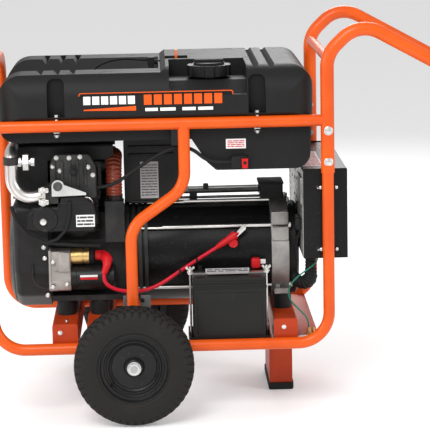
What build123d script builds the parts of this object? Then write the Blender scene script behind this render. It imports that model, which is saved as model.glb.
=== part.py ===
from build123d import *
import os
from math import cos, radians, sin

# A wheeled portable generator: a twin-cylinder engine and an alternator on one shaft, hung in an open
# tube frame under a saddle tank. Millimetres. +X points to the handle, the tank's cap side is -Y, +Z is up.
# The origin is on the ground, under the middle of the whole object.

# ---- driving dimensions -------------------------------------------------------------------------
LENGTH = 1262.0            # over the left uprights and the handle's end bar
FRAME_TUBE = 30.0          # outside diameter of rails, uprights and posts
HANDLE_TUBE = 35.0         # outside diameter of the handle, which sleeves over the right uprights
BEND = 80.0                # centre-line radius of the tube bender's die
SIDE_Y = 275.0             # centre of each side frame
LOWER_Z = 184.0            # centre of the lower rails
UPPER_Z = 766.0            # centre of the upper rails
LEFT_X = -LENGTH / 2 + FRAME_TUBE / 2
RIGHT_X = 251.0
HOOP_Z = 903.0             # centre of the bar that closes the left end over the tank
SLEEVE_Z = 630.0           # lower end of the handle's sleeves
CRANK_Z = 386.0            # the engine and alternator shaft's height
WHEEL_X = -257.0
WHEEL_R = 154.5            # tyre radius, and so the axle's height
WHEEL_Y = 349.0            # middle of each tyre
AXLE_R = 9.5
TANK_LEFT, TANK_RIGHT = -588.0, 218.0
TANK_HALF = 285.0          # half width of the tank above the rails
TANK_LEDGE = 252.0         # half width where it hangs between the rails
TANK_TOP = 908.0
CAP_X, CAP_Y = -45.0, -150.0
CHANNEL_TOP = 246.0        # top of the cross channels that carry the rubber mounts
ENGINE_BASE = 286.0        # underside of the engine and alternator feet
SHAFT_GAP = 0.05           # radial clearance of a running fit

RAIL_R = FRAME_TUBE / 2
SIDES = (-1, 1)


# ---- small helpers ------------------------------------------------------------------------------
def box(x0, x1, y0, y1, z0, z1):
    """A block between two corners."""
    centre = Pos((x0 + x1) / 2, (y0 + y1) / 2, (z0 + z1) / 2)
    return centre * Box(abs(x1 - x0), abs(y1 - y0), abs(z1 - z0))


def rod(axis, start, end, a, b, radius):
    """A round bar along X, Y or Z; a and b are its other two coordinates in X, Y, Z order."""
    middle, length = (start + end) / 2, abs(end - start)
    if axis == "X":
        return Pos(middle, a, b) * Rot(0, 90, 0) * Cylinder(radius, length)
    if axis == "Y":
        return Pos(a, middle, b) * Rot(90, 0, 0) * Cylinder(radius, length)
    return Pos(a, b, middle) * Cylinder(radius, length)


def ring(axis, start, end, a, b, outer, inner):
    """A round bar with a hole right through it."""
    low, high = min(start, end), max(start, end)
    return rod(axis, low, high, a, b, outer) - rod(axis, low - 1, high + 1, a, b, inner)


def bent_tube(points, bend, diameter):
    """A round bar along straight runs that are joined by tangent arcs."""
    path = FilletPolyline(*points, radius=bend) if len(points) > 2 else Polyline(*points)
    section = Plane(origin=path @ 0, z_dir=path % 0) * Circle(diameter / 2)
    return sweep(section, path=path)


def turned(profile, x, y, z, axis="Y"):
    """A solid of revolution; profile is a list of (along, radius) round the axis through x, y, z."""
    face = make_face(Polyline(*[(r, a) for a, r in profile], close=True))
    solid = revolve(Plane.XZ * face, Axis.Z)
    turn = {"X": Rot(0, 90, 0), "Y": Rot(-90, 0, 0), "Z": Rot(0, 0, 0)}[axis]
    return Pos(x, y, z) * turn * solid


def prism_y(points, y0, y1, corners=None, radius=0):
    """An outline in X and Z, pushed along Y; the listed corners, or all of them, can be rounded."""
    face = make_face(Polyline(*[(x, z) for x, z in points], close=True))
    if radius:
        chosen = face.vertices() if corners is None else [
            v for v in face.vertices() if any((v.X - x) ** 2 + (v.Y - z) ** 2 < 1 for x, z in corners)]
        face = fillet(chosen, radius)
    return Pos(0, y1, 0) * extrude(Plane.XZ * face, y1 - y0)


def prism_x(points, x0, x1, radius=0):
    """An outline in Y and Z, pushed along X, with its corners rounded if a radius is given."""
    face = make_face(Polyline(*[(y, z) for y, z in points], close=True))
    if radius:
        face = fillet(face.vertices(), radius)
    return Pos(x0, 0, 0) * extrude(Plane.YZ * face, x1 - x0)


def both_sides(make):
    """The same piece at the near side (-1) and the far side (+1)."""
    return [make(side) for side in SIDES]


def hexagon(axis, start, end, a, b, across):
    """A hexagonal nut or bolt head along one axis."""
    shape = extrude(RegularPolygon(across / 2, 6, major_radius=False), abs(end - start))
    low = min(start, end)
    if axis == "Y":
        return Pos(a, low, b) * Rot(-90, 0, 0) * shape
    if axis == "X":
        return Pos(low, a, b) * Rot(0, 90, 0) * shape
    return Pos(a, b, low) * shape


PARTS = {}


def keep(name, *solids):
    """Files one node: one solid, or a group of separate ones."""
    flat = []
    for item in solids:
        flat += item if isinstance(item, list) else [item]
    bodies = []
    for item in flat:
        bodies += list(item.solids())
    PARTS[name] = Compound(children=bodies) if len(bodies) > 1 else bodies[0]
    return PARTS[name]


# ---- tube frame ---------------------------------------------------------------------------------
BEND_LEFT, BEND_RIGHT = LEFT_X + BEND, RIGHT_X - BEND
S_TOP_X, S_LOW_X = -116.0, WHEEL_X      # the S-post's upper and lower centre lines
S_TOP_Z, S_LOW_Z = 600.0, 502.4         # corners of its slanted run
HANDLE_CREST = (335.0, 1014.5)          # corner over the handle's highest bend
HANDLE_KNEE_Z = 934.0                   # corner where the handle leaves the vertical
HANDLE_END_X = LENGTH / 2 - HANDLE_TUBE / 2
HANDLE_SLOPE = 0.5536                   # drop per length of the handle's arms
HANDLE_END_Z = HANDLE_CREST[1] - HANDLE_SLOPE * (HANDLE_END_X - HANDLE_CREST[0])
END_BEND = 60.0                         # bend radius at the handle's end bar


def upright(x, side):
    return rod("Z", 100, 1000, x, side * SIDE_Y, RAIL_R)


def lower_rail(side):
    return rod("X", BEND_LEFT, BEND_RIGHT, side * SIDE_Y, LOWER_Z, RAIL_R)


def left_upright(side):
    y = side * SIDE_Y
    return bent_tube([(BEND_LEFT, y, LOWER_Z), (LEFT_X, y, LOWER_Z), (LEFT_X, y, HOOP_Z - BEND)],
                     BEND * 0.9999, FRAME_TUBE)


def right_upright(side):
    y = side * SIDE_Y
    return bent_tube([(BEND_RIGHT, y, LOWER_Z), (RIGHT_X, y, LOWER_Z), (RIGHT_X, y, UPPER_Z + 24)],
                     BEND * 0.9999, FRAME_TUBE)


def hoop_bar():
    points = [(LEFT_X, -SIDE_Y, HOOP_Z - BEND), (LEFT_X, -SIDE_Y, HOOP_Z),
              (LEFT_X, SIDE_Y, HOOP_Z), (LEFT_X, SIDE_Y, HOOP_Z - BEND)]
    return bent_tube(points, BEND * 0.9999, FRAME_TUBE)


def handle_end_start():
    """Where each slanted handle arm meets the end bar's bend: (x, z)."""
    run = END_BEND / (1 + HANDLE_SLOPE ** 2) ** 0.5
    return HANDLE_END_X - run, HANDLE_END_Z + run * HANDLE_SLOPE


def handle_arm(side):
    y, (x_end, z_end) = side * SIDE_Y, handle_end_start()
    points = [(RIGHT_X, y, SLEEVE_Z), (RIGHT_X, y, HANDLE_KNEE_Z),
              (HANDLE_CREST[0], y, HANDLE_CREST[1]), (x_end, y, z_end)]
    return bent_tube(points, BEND, HANDLE_TUBE) - right_upright(side)


def handle_end_bar():
    x, z = handle_end_start()
    points = [(x, -SIDE_Y, z), (HANDLE_END_X, -SIDE_Y, HANDLE_END_Z),
              (HANDLE_END_X, SIDE_Y, HANDLE_END_Z), (x, SIDE_Y, z)]
    return bent_tube(points, END_BEND * 0.9999, HANDLE_TUBE)


def handle_cross_bar():
    bar = rod("Y", -SIDE_Y, SIDE_Y, RIGHT_X + 2, 922, 12.5)
    return bar - handle_arm(-1) - handle_arm(1)


def upper_rail(side):
    rail = rod("X", LEFT_X, RIGHT_X, side * SIDE_Y, UPPER_Z, RAIL_R)
    sleeve = rod("Z", 650, 900, RIGHT_X, side * SIDE_Y, HANDLE_TUBE / 2)
    pieces = (rail - upright(LEFT_X, side) - sleeve).solids()
    return max(pieces, key=lambda s: s.volume)


def s_post(side):
    y = side * SIDE_Y
    points = [(S_TOP_X, y, UPPER_Z), (S_TOP_X, y, S_TOP_Z), (S_LOW_X, y, S_LOW_Z), (S_LOW_X, y, LOWER_Z)]
    post = bent_tube(points, BEND, FRAME_TUBE)
    rails = rod("X", -400, 100, y, UPPER_Z, RAIL_R) + rod("X", -400, 100, y, LOWER_Z, RAIL_R)
    return max((post - rails).solids(), key=lambda s: s.volume)


keep("lower_rails", both_sides(lower_rail))
keep("left_uprights", both_sides(left_upright))
keep("right_uprights", both_sides(right_upright))
keep("upper_rails", both_sides(upper_rail))
keep("s_posts", both_sides(s_post))
keep("handle_arms", both_sides(handle_arm))
keep("cross_tubes", hoop_bar(), handle_end_bar(), handle_cross_bar())

# ---- sheet-metal cross members, tray, foot ------------------------------------------------------
SHEET = 4.0
CHANNEL_HALF = SIDE_Y - RAIL_R          # a channel fills the gap between the rails
ENGINE_CHANNELS = ((-468.0, -402.0), (-378.0, -312.0))
ALTERNATOR_CHANNEL = (108.0, 170.0)
CHANNEL_BASE = LOWER_Z - RAIL_R + 3


def cross_channel(span):
    """A folded channel, open downwards, between the lower rails."""
    x0, x1 = span
    block = box(x0, x1, -CHANNEL_HALF, CHANNEL_HALF, CHANNEL_BASE, CHANNEL_TOP)
    block = fillet(block.edges().filter_by(Axis.Y).group_by(Axis.Z)[-1], 6)
    hollow = box(x0 + SHEET, x1 - SHEET, -CHANNEL_HALF + SHEET, CHANNEL_HALF - SHEET,
                 CHANNEL_BASE - 1, CHANNEL_TOP - SHEET)
    rails = [rod("X", x0 - 5, x1 + 5, s * SIDE_Y, LOWER_Z, RAIL_R) for s in SIDES]
    return block - hollow - rails


def end_plate():
    plate = box(ALTERNATOR_CHANNEL[1], 226, -CHANNEL_HALF, CHANNEL_HALF, LOWER_Z + 6, LOWER_Z + 6 + SHEET)
    return plate - right_upright(-1) - right_upright(1) - [lower_rail(s) for s in SIDES]


keep("cross_channels", [cross_channel(span) for span in ENGINE_CHANNELS + (ALTERNATOR_CHANNEL,)], end_plate())

BATTERY = (-101.0, 88.0, -258.0, -136.0, 182.0, 330.0)
LID_TOP = 358.0
TRAY_FLOOR = BATTERY[4] - 4


def battery_tray():
    x0, x1, y0, y1 = BATTERY[0] - 12, BATTERY[1] + 12, BATTERY[2] - 3.5, BATTERY[3] + 4
    tray = box(x0, x1, y0, y1, TRAY_FLOOR, TRAY_FLOOR + 24)
    tray -= box(x0 + 3, x1 - 3, y0 + 3, y1 - 3, TRAY_FLOOR + 4, TRAY_FLOOR + 30)
    for centre in (-60, -20, 20, 60):
        tray -= box(centre - 12, centre + 12, y0 - 1, y0 + 4, TRAY_FLOOR + 9, TRAY_FLOOR + 15)
    return tray - lower_rail(-1)


FOOT = (106.0, 168.0, -60.0, 150.0)
PAD_TOP, PAD_BASE = 20.0, 0.0


def foot_channel():
    """A folded leg, open towards the handle, bolted under the alternator's cross channel."""
    x0, x1, y0, y1 = FOOT
    outline = [(y0 + 4, PAD_TOP), (y1 - 4, PAD_TOP), (y1, CHANNEL_BASE + 12), (y0, CHANNEL_BASE + 12)]
    leg = prism_x(outline, x0, x1)
    top = CHANNEL_BASE + 12 - SHEET
    leg -= box(x0 + SHEET, x1 + 1, y0 + SHEET + 4, y1 - SHEET - 4, PAD_TOP - 1, top)
    return leg


def foot_pad():
    x0, x1, y0, y1 = FOOT
    pad = box(x0 - 3, x1 + 3, y0 - 1, y1 + 1, PAD_BASE, PAD_TOP)
    pad = fillet(pad.edges().filter_by(Axis.Z), 8)
    return fillet(pad.faces().sort_by(Axis.Z)[0].edges(), 5)


keep("battery_tray", battery_tray())
keep("foot_channel", foot_channel() - PARTS["cross_channels"])
keep("foot_pad", foot_pad())

# ---- axle and wheels ----------------------------------------------------------------------------
HUB_HALF = 32.0
AXLE_END = WHEEL_Y + HUB_HALF + 12


def axle():
    shaft = rod("Y", -AXLE_END, AXLE_END, WHEEL_X, WHEEL_R, AXLE_R)
    return shaft - [lower_rail(s) for s in SIDES]


def axle_bracket(side):
    """A welded ear under each lower rail that the axle runs through."""
    y = side * SIDE_Y
    outline = [(WHEEL_X - 42, LOWER_Z), (WHEEL_X + 42, LOWER_Z), (WHEEL_X + 18, WHEEL_R - 22),
               (WHEEL_X - 18, WHEEL_R - 22)]
    ear = prism_y(outline, y - 4, y + 4)
    return ear - axle() - lower_rail(side) - s_post(side)


TYRE_PROFILE = [(-38, 89), (-46, 97), (-47, 116), (-44, 136), (-36, 148), (-18, 153.5), (0, WHEEL_R),
                (18, 153.5), (36, 148), (44, 136), (47, 116), (46, 97), (38, 89), (34, 90), (36, 100),
                (36, 118), (32, 134), (0, 141), (-32, 134), (-36, 118), (-36, 100), (-34, 90)]


def tyre(side):
    return turned(TYRE_PROFILE, WHEEL_X, side * WHEEL_Y, WHEEL_R)


def rim(side):
    """A pressed rim with a dished disc and a plain-bearing hub; the dish faces outwards."""
    barrel = [(-38, 89), (-34, 90), (-32, 74), (32, 74), (34, 90), (38, 89), (35, 70.5), (-35, 70.5)]
    disc = [(-8, 71.5), (-4, 71.5), (2, 60), (2, 24), (-3, 24), (-3, 58)]
    hub = [(-HUB_HALF, AXLE_R + SHAFT_GAP), (HUB_HALF, AXLE_R + SHAFT_GAP), (HUB_HALF, 20), (6, 26),
           (-6, 26), (-HUB_HALF, 20)]
    shape = turned(barrel, 0, 0, 0) + turned(disc, 0, 0, 0) + turned(hub, 0, 0, 0)
    if side < 0:
        shape = Rot(0, 0, 180) * shape
    return Pos(WHEEL_X, side * WHEEL_Y, WHEEL_R) * shape


keep("axle", axle())
keep("axle_brackets", both_sides(axle_bracket))
for side, name in zip(SIDES, ("near", "far")):
    keep("tyre_" + name, tyre(side))
    keep("rim_" + name, rim(side))

# ---- fuel tank ----------------------------------------------------------------------------------
DEEP_FLOOR, SHALLOW_FLOOR = 640.0, 722.0
LEFT_TOP = 895.0
LEDGE_Z = UPPER_Z + RAIL_R + 0.5
POCKETS = (-438.0, 72.0)                # middles of the bolt pockets along the tank
GROOVES = (-482.0, -438.0, -398.0, 72.0, 112.0)
WALL = 4.0


def tank_outer(grow=0.0):
    """The moulded outside: a side outline and an end outline that cut each other."""
    g = grow
    side = [(TANK_LEFT + g, SHALLOW_FLOOR + g), (-96 + g, SHALLOW_FLOOR + g), (-58 + g, DEEP_FLOOR + 22 + g),
            (-34, DEEP_FLOOR + g), (TANK_RIGHT - 12 - g, DEEP_FLOOR + g), (TANK_RIGHT - g, UPPER_Z + 60),
            (TANK_RIGHT - g, TANK_TOP - g), (-158 + g, TANK_TOP - g), (-172 + g, LEFT_TOP - g),
            (TANK_LEFT + g, LEFT_TOP - g)]
    outline = make_face(Polyline(*side, close=True))
    tops = [v for v in outline.vertices() if abs(v.X) > 200 and v.Y > 860]
    outline = fillet(tops, 62 - 1.5 * g)
    outline = fillet([v for v in outline.vertices() if v.X < -580 and v.Y < 740], 46 - g)
    outline = fillet([v for v in outline.vertices() if v.X > 200 and v.Y < 660], 40 - g)
    outline = fillet([v for v in outline.vertices() if -60 < v.X < -30 and v.Y < 670], 12)
    long_shape = Pos(0, 300, 0) * extrude(Plane.XZ * outline, 600)
    upper = [(-TANK_HALF + g, LEDGE_Z + g), (TANK_HALF - g, LEDGE_Z + g), (TANK_HALF - g, TANK_TOP - g),
             (-TANK_HALF + g, TANK_TOP - g)]
    end = make_face(Polyline(*upper, close=True))
    end = fillet([v for v in end.vertices() if v.Y > 850], 76 - 1.5 * g)
    end = fillet([v for v in end.vertices() if v.Y < 800], 14 - g)
    lower = make_face(Polyline((-TANK_LEDGE + g, 600), (TANK_LEDGE - g, 600), (TANK_LEDGE - g, LEDGE_Z + 30),
                               (-TANK_LEDGE + g, LEDGE_Z + 30), close=True))
    wide = Pos(-700, 0, 0) * extrude(Plane.YZ * (end + lower), 1400)
    body = long_shape & wide
    plan = Pos((TANK_LEFT + TANK_RIGHT) / 2, 0, 760) * Box(TANK_RIGHT - TANK_LEFT - 2 * g, 2 * (TANK_HALF - g), 600)
    plan = fillet(plan.edges().filter_by(Axis.Z), 70 - 1.5 * g)
    return body & plan


def valley(grow=0.0):
    """The long hollow between the two ridges of the tank's left part."""
    g = grow
    outline = [(-70 - g, 852 - g), (70 + g, 852 - g), (150 + g, LEFT_TOP + 1), (150 + g, 950),
               (-150 - g, 950), (-150 - g, LEFT_TOP + 1)]
    return prism_x(outline, TANK_LEFT - 5, -176 + g)


def cap_recess(grow=0.0):
    """The flat step in the near shoulder that the cap stands in."""
    g = grow
    outline = [(-205 - g, 868 - g), (-60 + g, 868 - g), (-60 + g, 950), (-300, 950), (-300, 838 - g),
               (-262 - g, 838 - g)]
    return prism_x(outline, -150 - g, 48 + g)


def bolt_pocket(x, side, grow=0.0):
    g = grow
    y = side * TANK_HALF
    pocket = box(x - 22 - g, x + 22 + g, y - 34 - g, y + 34 + g, LEDGE_Z + 8 - g, 886)
    return fillet(pocket.edges().filter_by(Axis.Y).group_by(Axis.Z)[-1], 16)


def groove(x):
    """A shallow V pressed across the top."""
    top = TANK_TOP if x > -160 else LEFT_TOP
    return prism_y([(x - 11, top + 3), (x, top - 13), (x + 11, top + 3)], -TANK_HALF + 40, TANK_HALF - 40)


def eye_recess(grow=0.0):
    """The step down round the lifting eye, which leaves room for a hook."""
    return box(EYE_X - 30 - grow, EYE_X + 30 + grow, -38 - grow, 38 + grow, 884 - grow, 950)


def vent_boss():
    """The moulded housing of the roll-over valve, which stands in the valley at the vent hose's end."""
    post = box(-204, -186, 21, 39, 880, 906) + rod("Z", 850, 880, -195, 30, 12)
    return post + rod("X", -186, -170, 30, 893, 6)


def fuel_tank():
    """The saddle tank: a hollow moulding with a neck, bolt pockets and a slot for the lifting eye."""
    body = tank_outer() - valley() - cap_recess()
    for x in POCKETS:
        for side in SIDES:
            body -= bolt_pocket(x, side)
    for x in GROOVES:
        body -= groove(x)
    hollow = tank_outer(WALL) - valley(WALL) - cap_recess(WALL)
    for x in POCKETS:
        for side in SIDES:
            hollow -= bolt_pocket(x, side, WALL)
    for x in GROOVES:
        top = TANK_TOP if x > -160 else LEFT_TOP
        hollow -= prism_y([(x - 16, top + 3), (x, top - 13 - WALL), (x + 16, top + 3)],
                          -TANK_HALF + 36, TANK_HALF - 36)
    hollow -= box(EYE_X - 10, EYE_X + 10, -22, 22, 600, 950) + eye_recess(WALL)
    body -= hollow
    body -= box(EYE_X - 6, EYE_X + 6, -18, 18, 600, 950) + eye_recess()
    body += rod("Z", 862, NECK_TOP, CAP_X, CAP_Y, NECK_R + 4)
    body += vent_boss()
    body -= rod("Z", 855, NECK_TOP + 1, CAP_X, CAP_Y, NECK_R)
    return body


EYE_X, EYE_Z, EYE_R = -128.0, 914.0, 7.0
NECK_R, NECK_TOP = 34.0, 888.0
CAP_R = 57.0
keep("fuel_tank", fuel_tank())


def fuel_cap():
    """A big lobed cap, open below, that drops over the filler neck."""
    cap = rod("Z", 874, 902, CAP_X, CAP_Y, CAP_R)
    for n in range(10):
        a = radians(36 * n)
        cap -= rod("Z", 870, 905, CAP_X + (CAP_R + 4) * cos(a), CAP_Y + (CAP_R + 4) * sin(a), 8)
    cap += rod("Z", 902, 908, CAP_X, CAP_Y, 40)
    cap += box(CAP_X - 38, CAP_X + 38, CAP_Y - 8, CAP_Y + 8, 902, 916)
    cap -= rod("Z", 870, NECK_TOP + 2.2, CAP_X, CAP_Y, NECK_R + 5)
    return fillet(cap.faces().sort_by(Axis.Z)[-1].edges(), 3)


keep("fuel_cap", fuel_cap())
keep("cap_gasket", ring("Z", NECK_TOP, NECK_TOP + 2, CAP_X, CAP_Y, NECK_R + 3.5, NECK_R - 6))


def lifting_eye():
    """A flat bar that stands up through the slot in the tank from a strap across the upper rails."""
    strap_z = SHALLOW_FLOOR - 12
    bar = box(EYE_X - 3, EYE_X + 3, -14, 14, strap_z + 6, EYE_Z)
    top = rod("X", EYE_X - 3, EYE_X + 3, 0, EYE_Z, 14)
    eye = bar + top - rod("X", EYE_X - 5, EYE_X + 5, 0, EYE_Z, EYE_R)
    strap = box(EYE_X - 20, EYE_X + 20, -SIDE_Y + RAIL_R, SIDE_Y - RAIL_R, strap_z, strap_z + 6)
    ends = [box(EYE_X - 20, EYE_X + 20, s * SIDE_Y - s * (RAIL_R + 2), s * SIDE_Y, strap_z, UPPER_Z) for s in SIDES]
    whole = eye + strap
    for end in ends:
        whole += end
    cutters = [rod("X", -200, 0, s * SIDE_Y, UPPER_Z, RAIL_R) for s in SIDES]
    cutters += [s_post(s) for s in SIDES]
    return max((whole - cutters).solids(), key=lambda s: s.volume)


keep("lifting_eye", lifting_eye())

# ---- engine -------------------------------------------------------------------------------------
CRANKCASE = (-470.0, -275.0)            # along the shaft
V_ANGLE = 36.0                          # each cylinder's lean from the vertical
CYLINDERS = ((-1, -403.0), (1, -350.0))  # side, place along the shaft
BORE_R, CRANK_R = 39.0, 20.0
BLOWER = (-566.0, -475.0)


def rubber_mounts():
    """Round rubber blocks between the cross channels and the feet of the engine and alternator."""
    blocks = []
    for x0, x1 in ENGINE_CHANNELS + (ALTERNATOR_CHANNEL,):
        for side in SIDES:
            y = side * (120 if x0 > 0 else 135)
            blocks.append(rod("Z", CHANNEL_TOP, ENGINE_BASE, (x0 + x1) / 2, y, 24))
    return blocks


def crankcase():
    """The cast block, with its feet, a breather boss and the chamber that the crank turns in."""
    x0, x1 = CRANKCASE
    outline = [(-160, ENGINE_BASE), (160, ENGINE_BASE), (160, 300), (120, 306), (112, 440), (64, 505),
               (-64, 505), (-112, 440), (-120, 306), (-160, 300)]
    block = prism_x(outline, x0, x1)
    block += box(-325, x1, -155, -108, 440, 548)
    block -= rod("X", x0 + 14, x1 - 14, 0, CRANK_Z, 82)
    block -= rod("X", x0 - 1, x1 + 1, 0, CRANK_Z, CRANK_R + SHAFT_GAP)
    for side, x in CYLINDERS:
        block -= along_cylinder(side, x, rod("Z", 60, 400, 0, 0, BORE_R + 4))
    return block


def along_cylinder(side, x, shape):
    """Places a shape drawn round +Z from the crank's centre onto one leaning cylinder."""
    return Pos(x, 0, CRANK_Z) * Rot(-side * V_ANGLE, 0, 0) * shape


def cylinder(side, x):
    """A finned barrel with a plain bore."""
    barrel = rod("Z", 96, 240, 0, 0, BORE_R + 12)
    for n in range(8):
        barrel += box(-60, 60, -55, 55, 140 + 13 * n, 144 + 13 * n)
    barrel -= rod("Z", 80, 250, 0, 0, BORE_R)
    return along_cylinder(side, x, barrel) - PARTS["crankcase"]


def piston(side, x):
    return along_cylinder(side, x, rod("Z", 150, 205, 0, 0, BORE_R - 0.05))


def head_cover(side, x):
    """A cylinder head with its bolted rocker cover; the near one carries the exhaust port."""
    head = box(-61, 61, -54, 54, 240, 268)
    cover = box(-52, 52, -46, 46, 268, 300)
    cover = fillet(cover.edges().group_by(Axis.Z)[-1], 10)
    shape = along_cylinder(side, x, head + cover)
    if side < 0:
        shape += box(ELBOW_END, -442, -236, -196, 560, 598)
        shape += rod("Y", -243, -200, GOVERNOR[0], GOVERNOR[2], 5)
    return shape


ELBOW_END = -475.0
GOVERNOR = (-442.0, -240.0, 606.0)      # pivot of the governor lever
keep("rubber_mounts", rubber_mounts())
keep("crankcase", crankcase())
keep("head_covers", [head_cover(side, x) for side, x in CYLINDERS])
keep("cylinders", [cylinder(side, x) - PARTS["head_covers"] for side, x in CYLINDERS],
     [piston(side, x) for side, x in CYLINDERS])

SHAFT_END = -200.0


def crankshaft():
    shaft = rod("X", -560, SHAFT_END, 0, CRANK_Z, CRANK_R)
    shaft -= rod("X", -398, -352, 0, CRANK_Z, CRANK_R + 1)
    for x0 in (-418, -352):
        shaft += rod("X", x0, x0 + 20, 0, CRANK_Z, 58)
    return shaft + rod("X", -400, -350, 30, CRANK_Z, 18)


def flywheel_fan():
    """A flywheel with cooling blades on its open face."""
    wheel = rod("X", -520, -498, 0, CRANK_Z, 100)
    for n in range(12):
        blade = box(-548, -520, -2, 2, 50, 98)
        wheel += Pos(0, 0, CRANK_Z) * Rot(30 * n, 0, 0) * blade
    return wheel - rod("X", -560, -490, 0, CRANK_Z, CRANK_R)


def blower_housing():
    """The cover round the flywheel, wide enough to blow on both leaning cylinders."""
    x0, x1 = BLOWER
    outline = [(-70, 256), (70, 256), (150, 300), (188, 370), (188, 556), (-188, 556), (-188, 370), (-150, 300)]
    shape = prism_x(outline, x0, x1, 30)
    shape = fillet(shape.faces().sort_by(Axis.X)[0].edges(), 18)
    inside = [(-62, 264), (62, 264), (143, 305), (180, 373), (180, 548), (-180, 548), (-180, 373), (-143, 305)]
    shape -= prism_x(inside, x0 + 8, x1 - 4, 22)
    shape -= rod("X", x0 - 1, x0 + 9, 0, CRANK_Z, 104)
    return shape - rod("X", x1 - 7, x1 + 1, 0, CRANK_Z, CRANK_R + 1)


def intake_screen():
    """A shallow domed guard over the fan's air inlet."""
    x0 = BLOWER[0]
    dome = turned([(0, 128), (-6, 126), (-16, 104), (-19, 0), (-16.5, 0), (-13.5, 103), (-4, 122), (0, 122)],
                  x0, 0, CRANK_Z, "X")
    for n in range(24):
        slot = box(x0 - 30, x0 - 10, -3, 3, 34, 96)
        dome -= Pos(0, 0, CRANK_Z) * Rot(15 * n, 0, 0) * slot
    return dome


def engine_shroud():
    """Folded sheet that leads the air over the heads; it stands on the blower housing."""
    outer = box(-566, -300, -120, 150, 556, 700)
    outer = fillet(outer.edges().filter_by(Axis.X).group_by(Axis.Z)[-1], 12)
    inner = box(-564, -299, -118, 148, 550, 698)
    gap = box(-474, -290, -200, 200, 550, 655)
    sheet = outer - inner - gap
    return sheet - PARTS["head_covers"] - rod("Y", -130, -100, -562, 690, 17)


keep("crankshaft", crankshaft())
keep("flywheel_fan", flywheel_fan())
keep("blower_housing", blower_housing())
keep("intake_screen", intake_screen())
keep("engine_shroud", engine_shroud())


def starter():
    """Die-cast nose, motor and solenoid, side by side on the crankcase."""
    y = -165.0
    nose = prism_x([(y - 30, 320), (y + 30, 320), (y + 36, 350), (y + 24, 426), (y - 24, 426), (y - 36, 350)],
                   BLOWER[1], -416, 8)
    motor = rod("X", -416, -306, y, 350, 33) + rod("X", -306, -300, y, 350, 20)
    solenoid = rod("X", -416, -368, y, 406, 21) + rod("X", -368, -356, y, 406, 9)
    return [nose, motor, solenoid]


def air_cleaner():
    """A flat black case in front of the near cylinder, with a round knob."""
    outline = [(-528, 494), (-500, 486), (-352, 482), (-341, 510), (-352, 560), (-372, 578), (-436, 578),
               (-442, 552), (-505, 550), (-522, 535)]
    case = prism_y(outline, -236, -182)
    case = fillet(case.faces().sort_by(Axis.Y)[0].edges(), 7)
    clear = along_cylinder(-1, CYLINDERS[0][1], box(-62, 62, -55, 55, 100, 302))
    case = max((case - clear - PARTS["blower_housing"]).solids(), key=lambda s: s.volume)
    return case + rod("Y", -248, -234, -482, 515, 9)


def carburettor():
    body = box(-400, -336, -34, 34, 560, 640)
    body = fillet(body.edges().filter_by(Axis.X), 8)
    body += rod("X", -336, -300, 0, 625, 20)
    legs = box(-396, -340, -60, 60, 540, 566)
    return body + legs - PARTS["head_covers"] - PARTS["cylinders"]


DUCT_X, DUCT_Y = -300.0, -130.0


def intake_duct():
    """A ribbed hose from the breather boss up and over to the carburettor."""
    hose = bent_tube([(DUCT_X, DUCT_Y, 548), (DUCT_X, DUCT_Y, 652), (DUCT_X, -16, 652)], 40, 44)
    return hose - PARTS["carburettor"] - PARTS["engine_shroud"] - PARTS["crankcase"]


def governor_arm():
    """A flat clamp lever on its pivot, with a long tapering arm."""
    x, y, z = GOVERNOR
    arm = prism_y([(x - 16, z - 26), (x + 10, z - 26), (x + 72, z - 24), (x + 72, z - 18), (x + 14, z + 4),
                   (x - 16, z)], y - 3, y + 1)
    arm += rod("Y", y - 3, y + 1, x, z, 16)
    return arm - rod("Y", y - 10, y + 10, x, z, 5 + SHAFT_GAP)


def exhaust_elbow():
    """The bright pipe from the near port, up and back into the shroud."""
    points = [(-562, -120, 690), (-562, -215, 690), (-562, -215, 568), (ELBOW_END - 8, -215, 578)]
    pipe = bent_tube(points, [30, 52], 32)
    flange = box(ELBOW_END - 8, ELBOW_END, -238, -192, 557, 599)
    return pipe + flange


keep("starter", starter())
keep("air_cleaner", air_cleaner())
keep("carburettor", carburettor())
keep("intake_duct", intake_duct())
keep("governor_arm", governor_arm())
keep("exhaust_elbow", exhaust_elbow())


def muffler():
    """A sheet-metal case that stands on the alternator's bell housing behind the engine."""
    case = box(-274, -128, -75, 190, 532, 700)
    case = fillet(case.edges().filter_by(Axis.Y), 8)
    inside = box(-272, -130, -73, 188, 534, 698)
    case -= fillet(inside.edges().filter_by(Axis.Y), 6)
    feet = [box(x, x + 14, -20, 20, 500, 532) for x in (-262, -234)]
    return case + feet[0] + feet[1] - PARTS["bell_housing"]


# ---- alternator ---------------------------------------------------------------------------------
BELL = (-275.0, -215.0)
STATOR_END, END_BELL_END, COVER_END = 112.0, 158.0, 184.0
STATOR_R, ROTOR_R, LUG_R = 134.0, 88.0, 148.0
STAY_ANGLES = (35, 75, 105, 145, 215, 325)
STAY_R = 140.0


def stay_bolt_places():
    return [(STAY_R * cos(radians(a)), CRANK_Z + STAY_R * sin(radians(a))) for a in STAY_ANGLES]


def with_bolt_holes(shape, x0, x1):
    for y, z in stay_bolt_places():
        shape -= rod("X", x0 - 1, x1 + 1, y, z, 4)
    return shape


def bell_housing():
    """The cast adapter between crankcase and alternator, with ribs and two feet."""
    x0, x1 = BELL
    shape = ring("X", x0, x1, 0, CRANK_Z, LUG_R, ROTOR_R + 4)
    for n in range(3):
        shape -= ring("X", x0 + 12 + 16 * n, x0 + 19 + 16 * n, 0, CRANK_Z, LUG_R + 1, LUG_R - 14)
    shape += rod("X", x0, x0 + 10, 0, CRANK_Z, ROTOR_R + 5)
    shape -= rod("X", x0 - 1, x0 + 11, 0, CRANK_Z, CRANK_R + SHAFT_GAP)
    return with_bolt_holes(shape, x0, x1)


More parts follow.
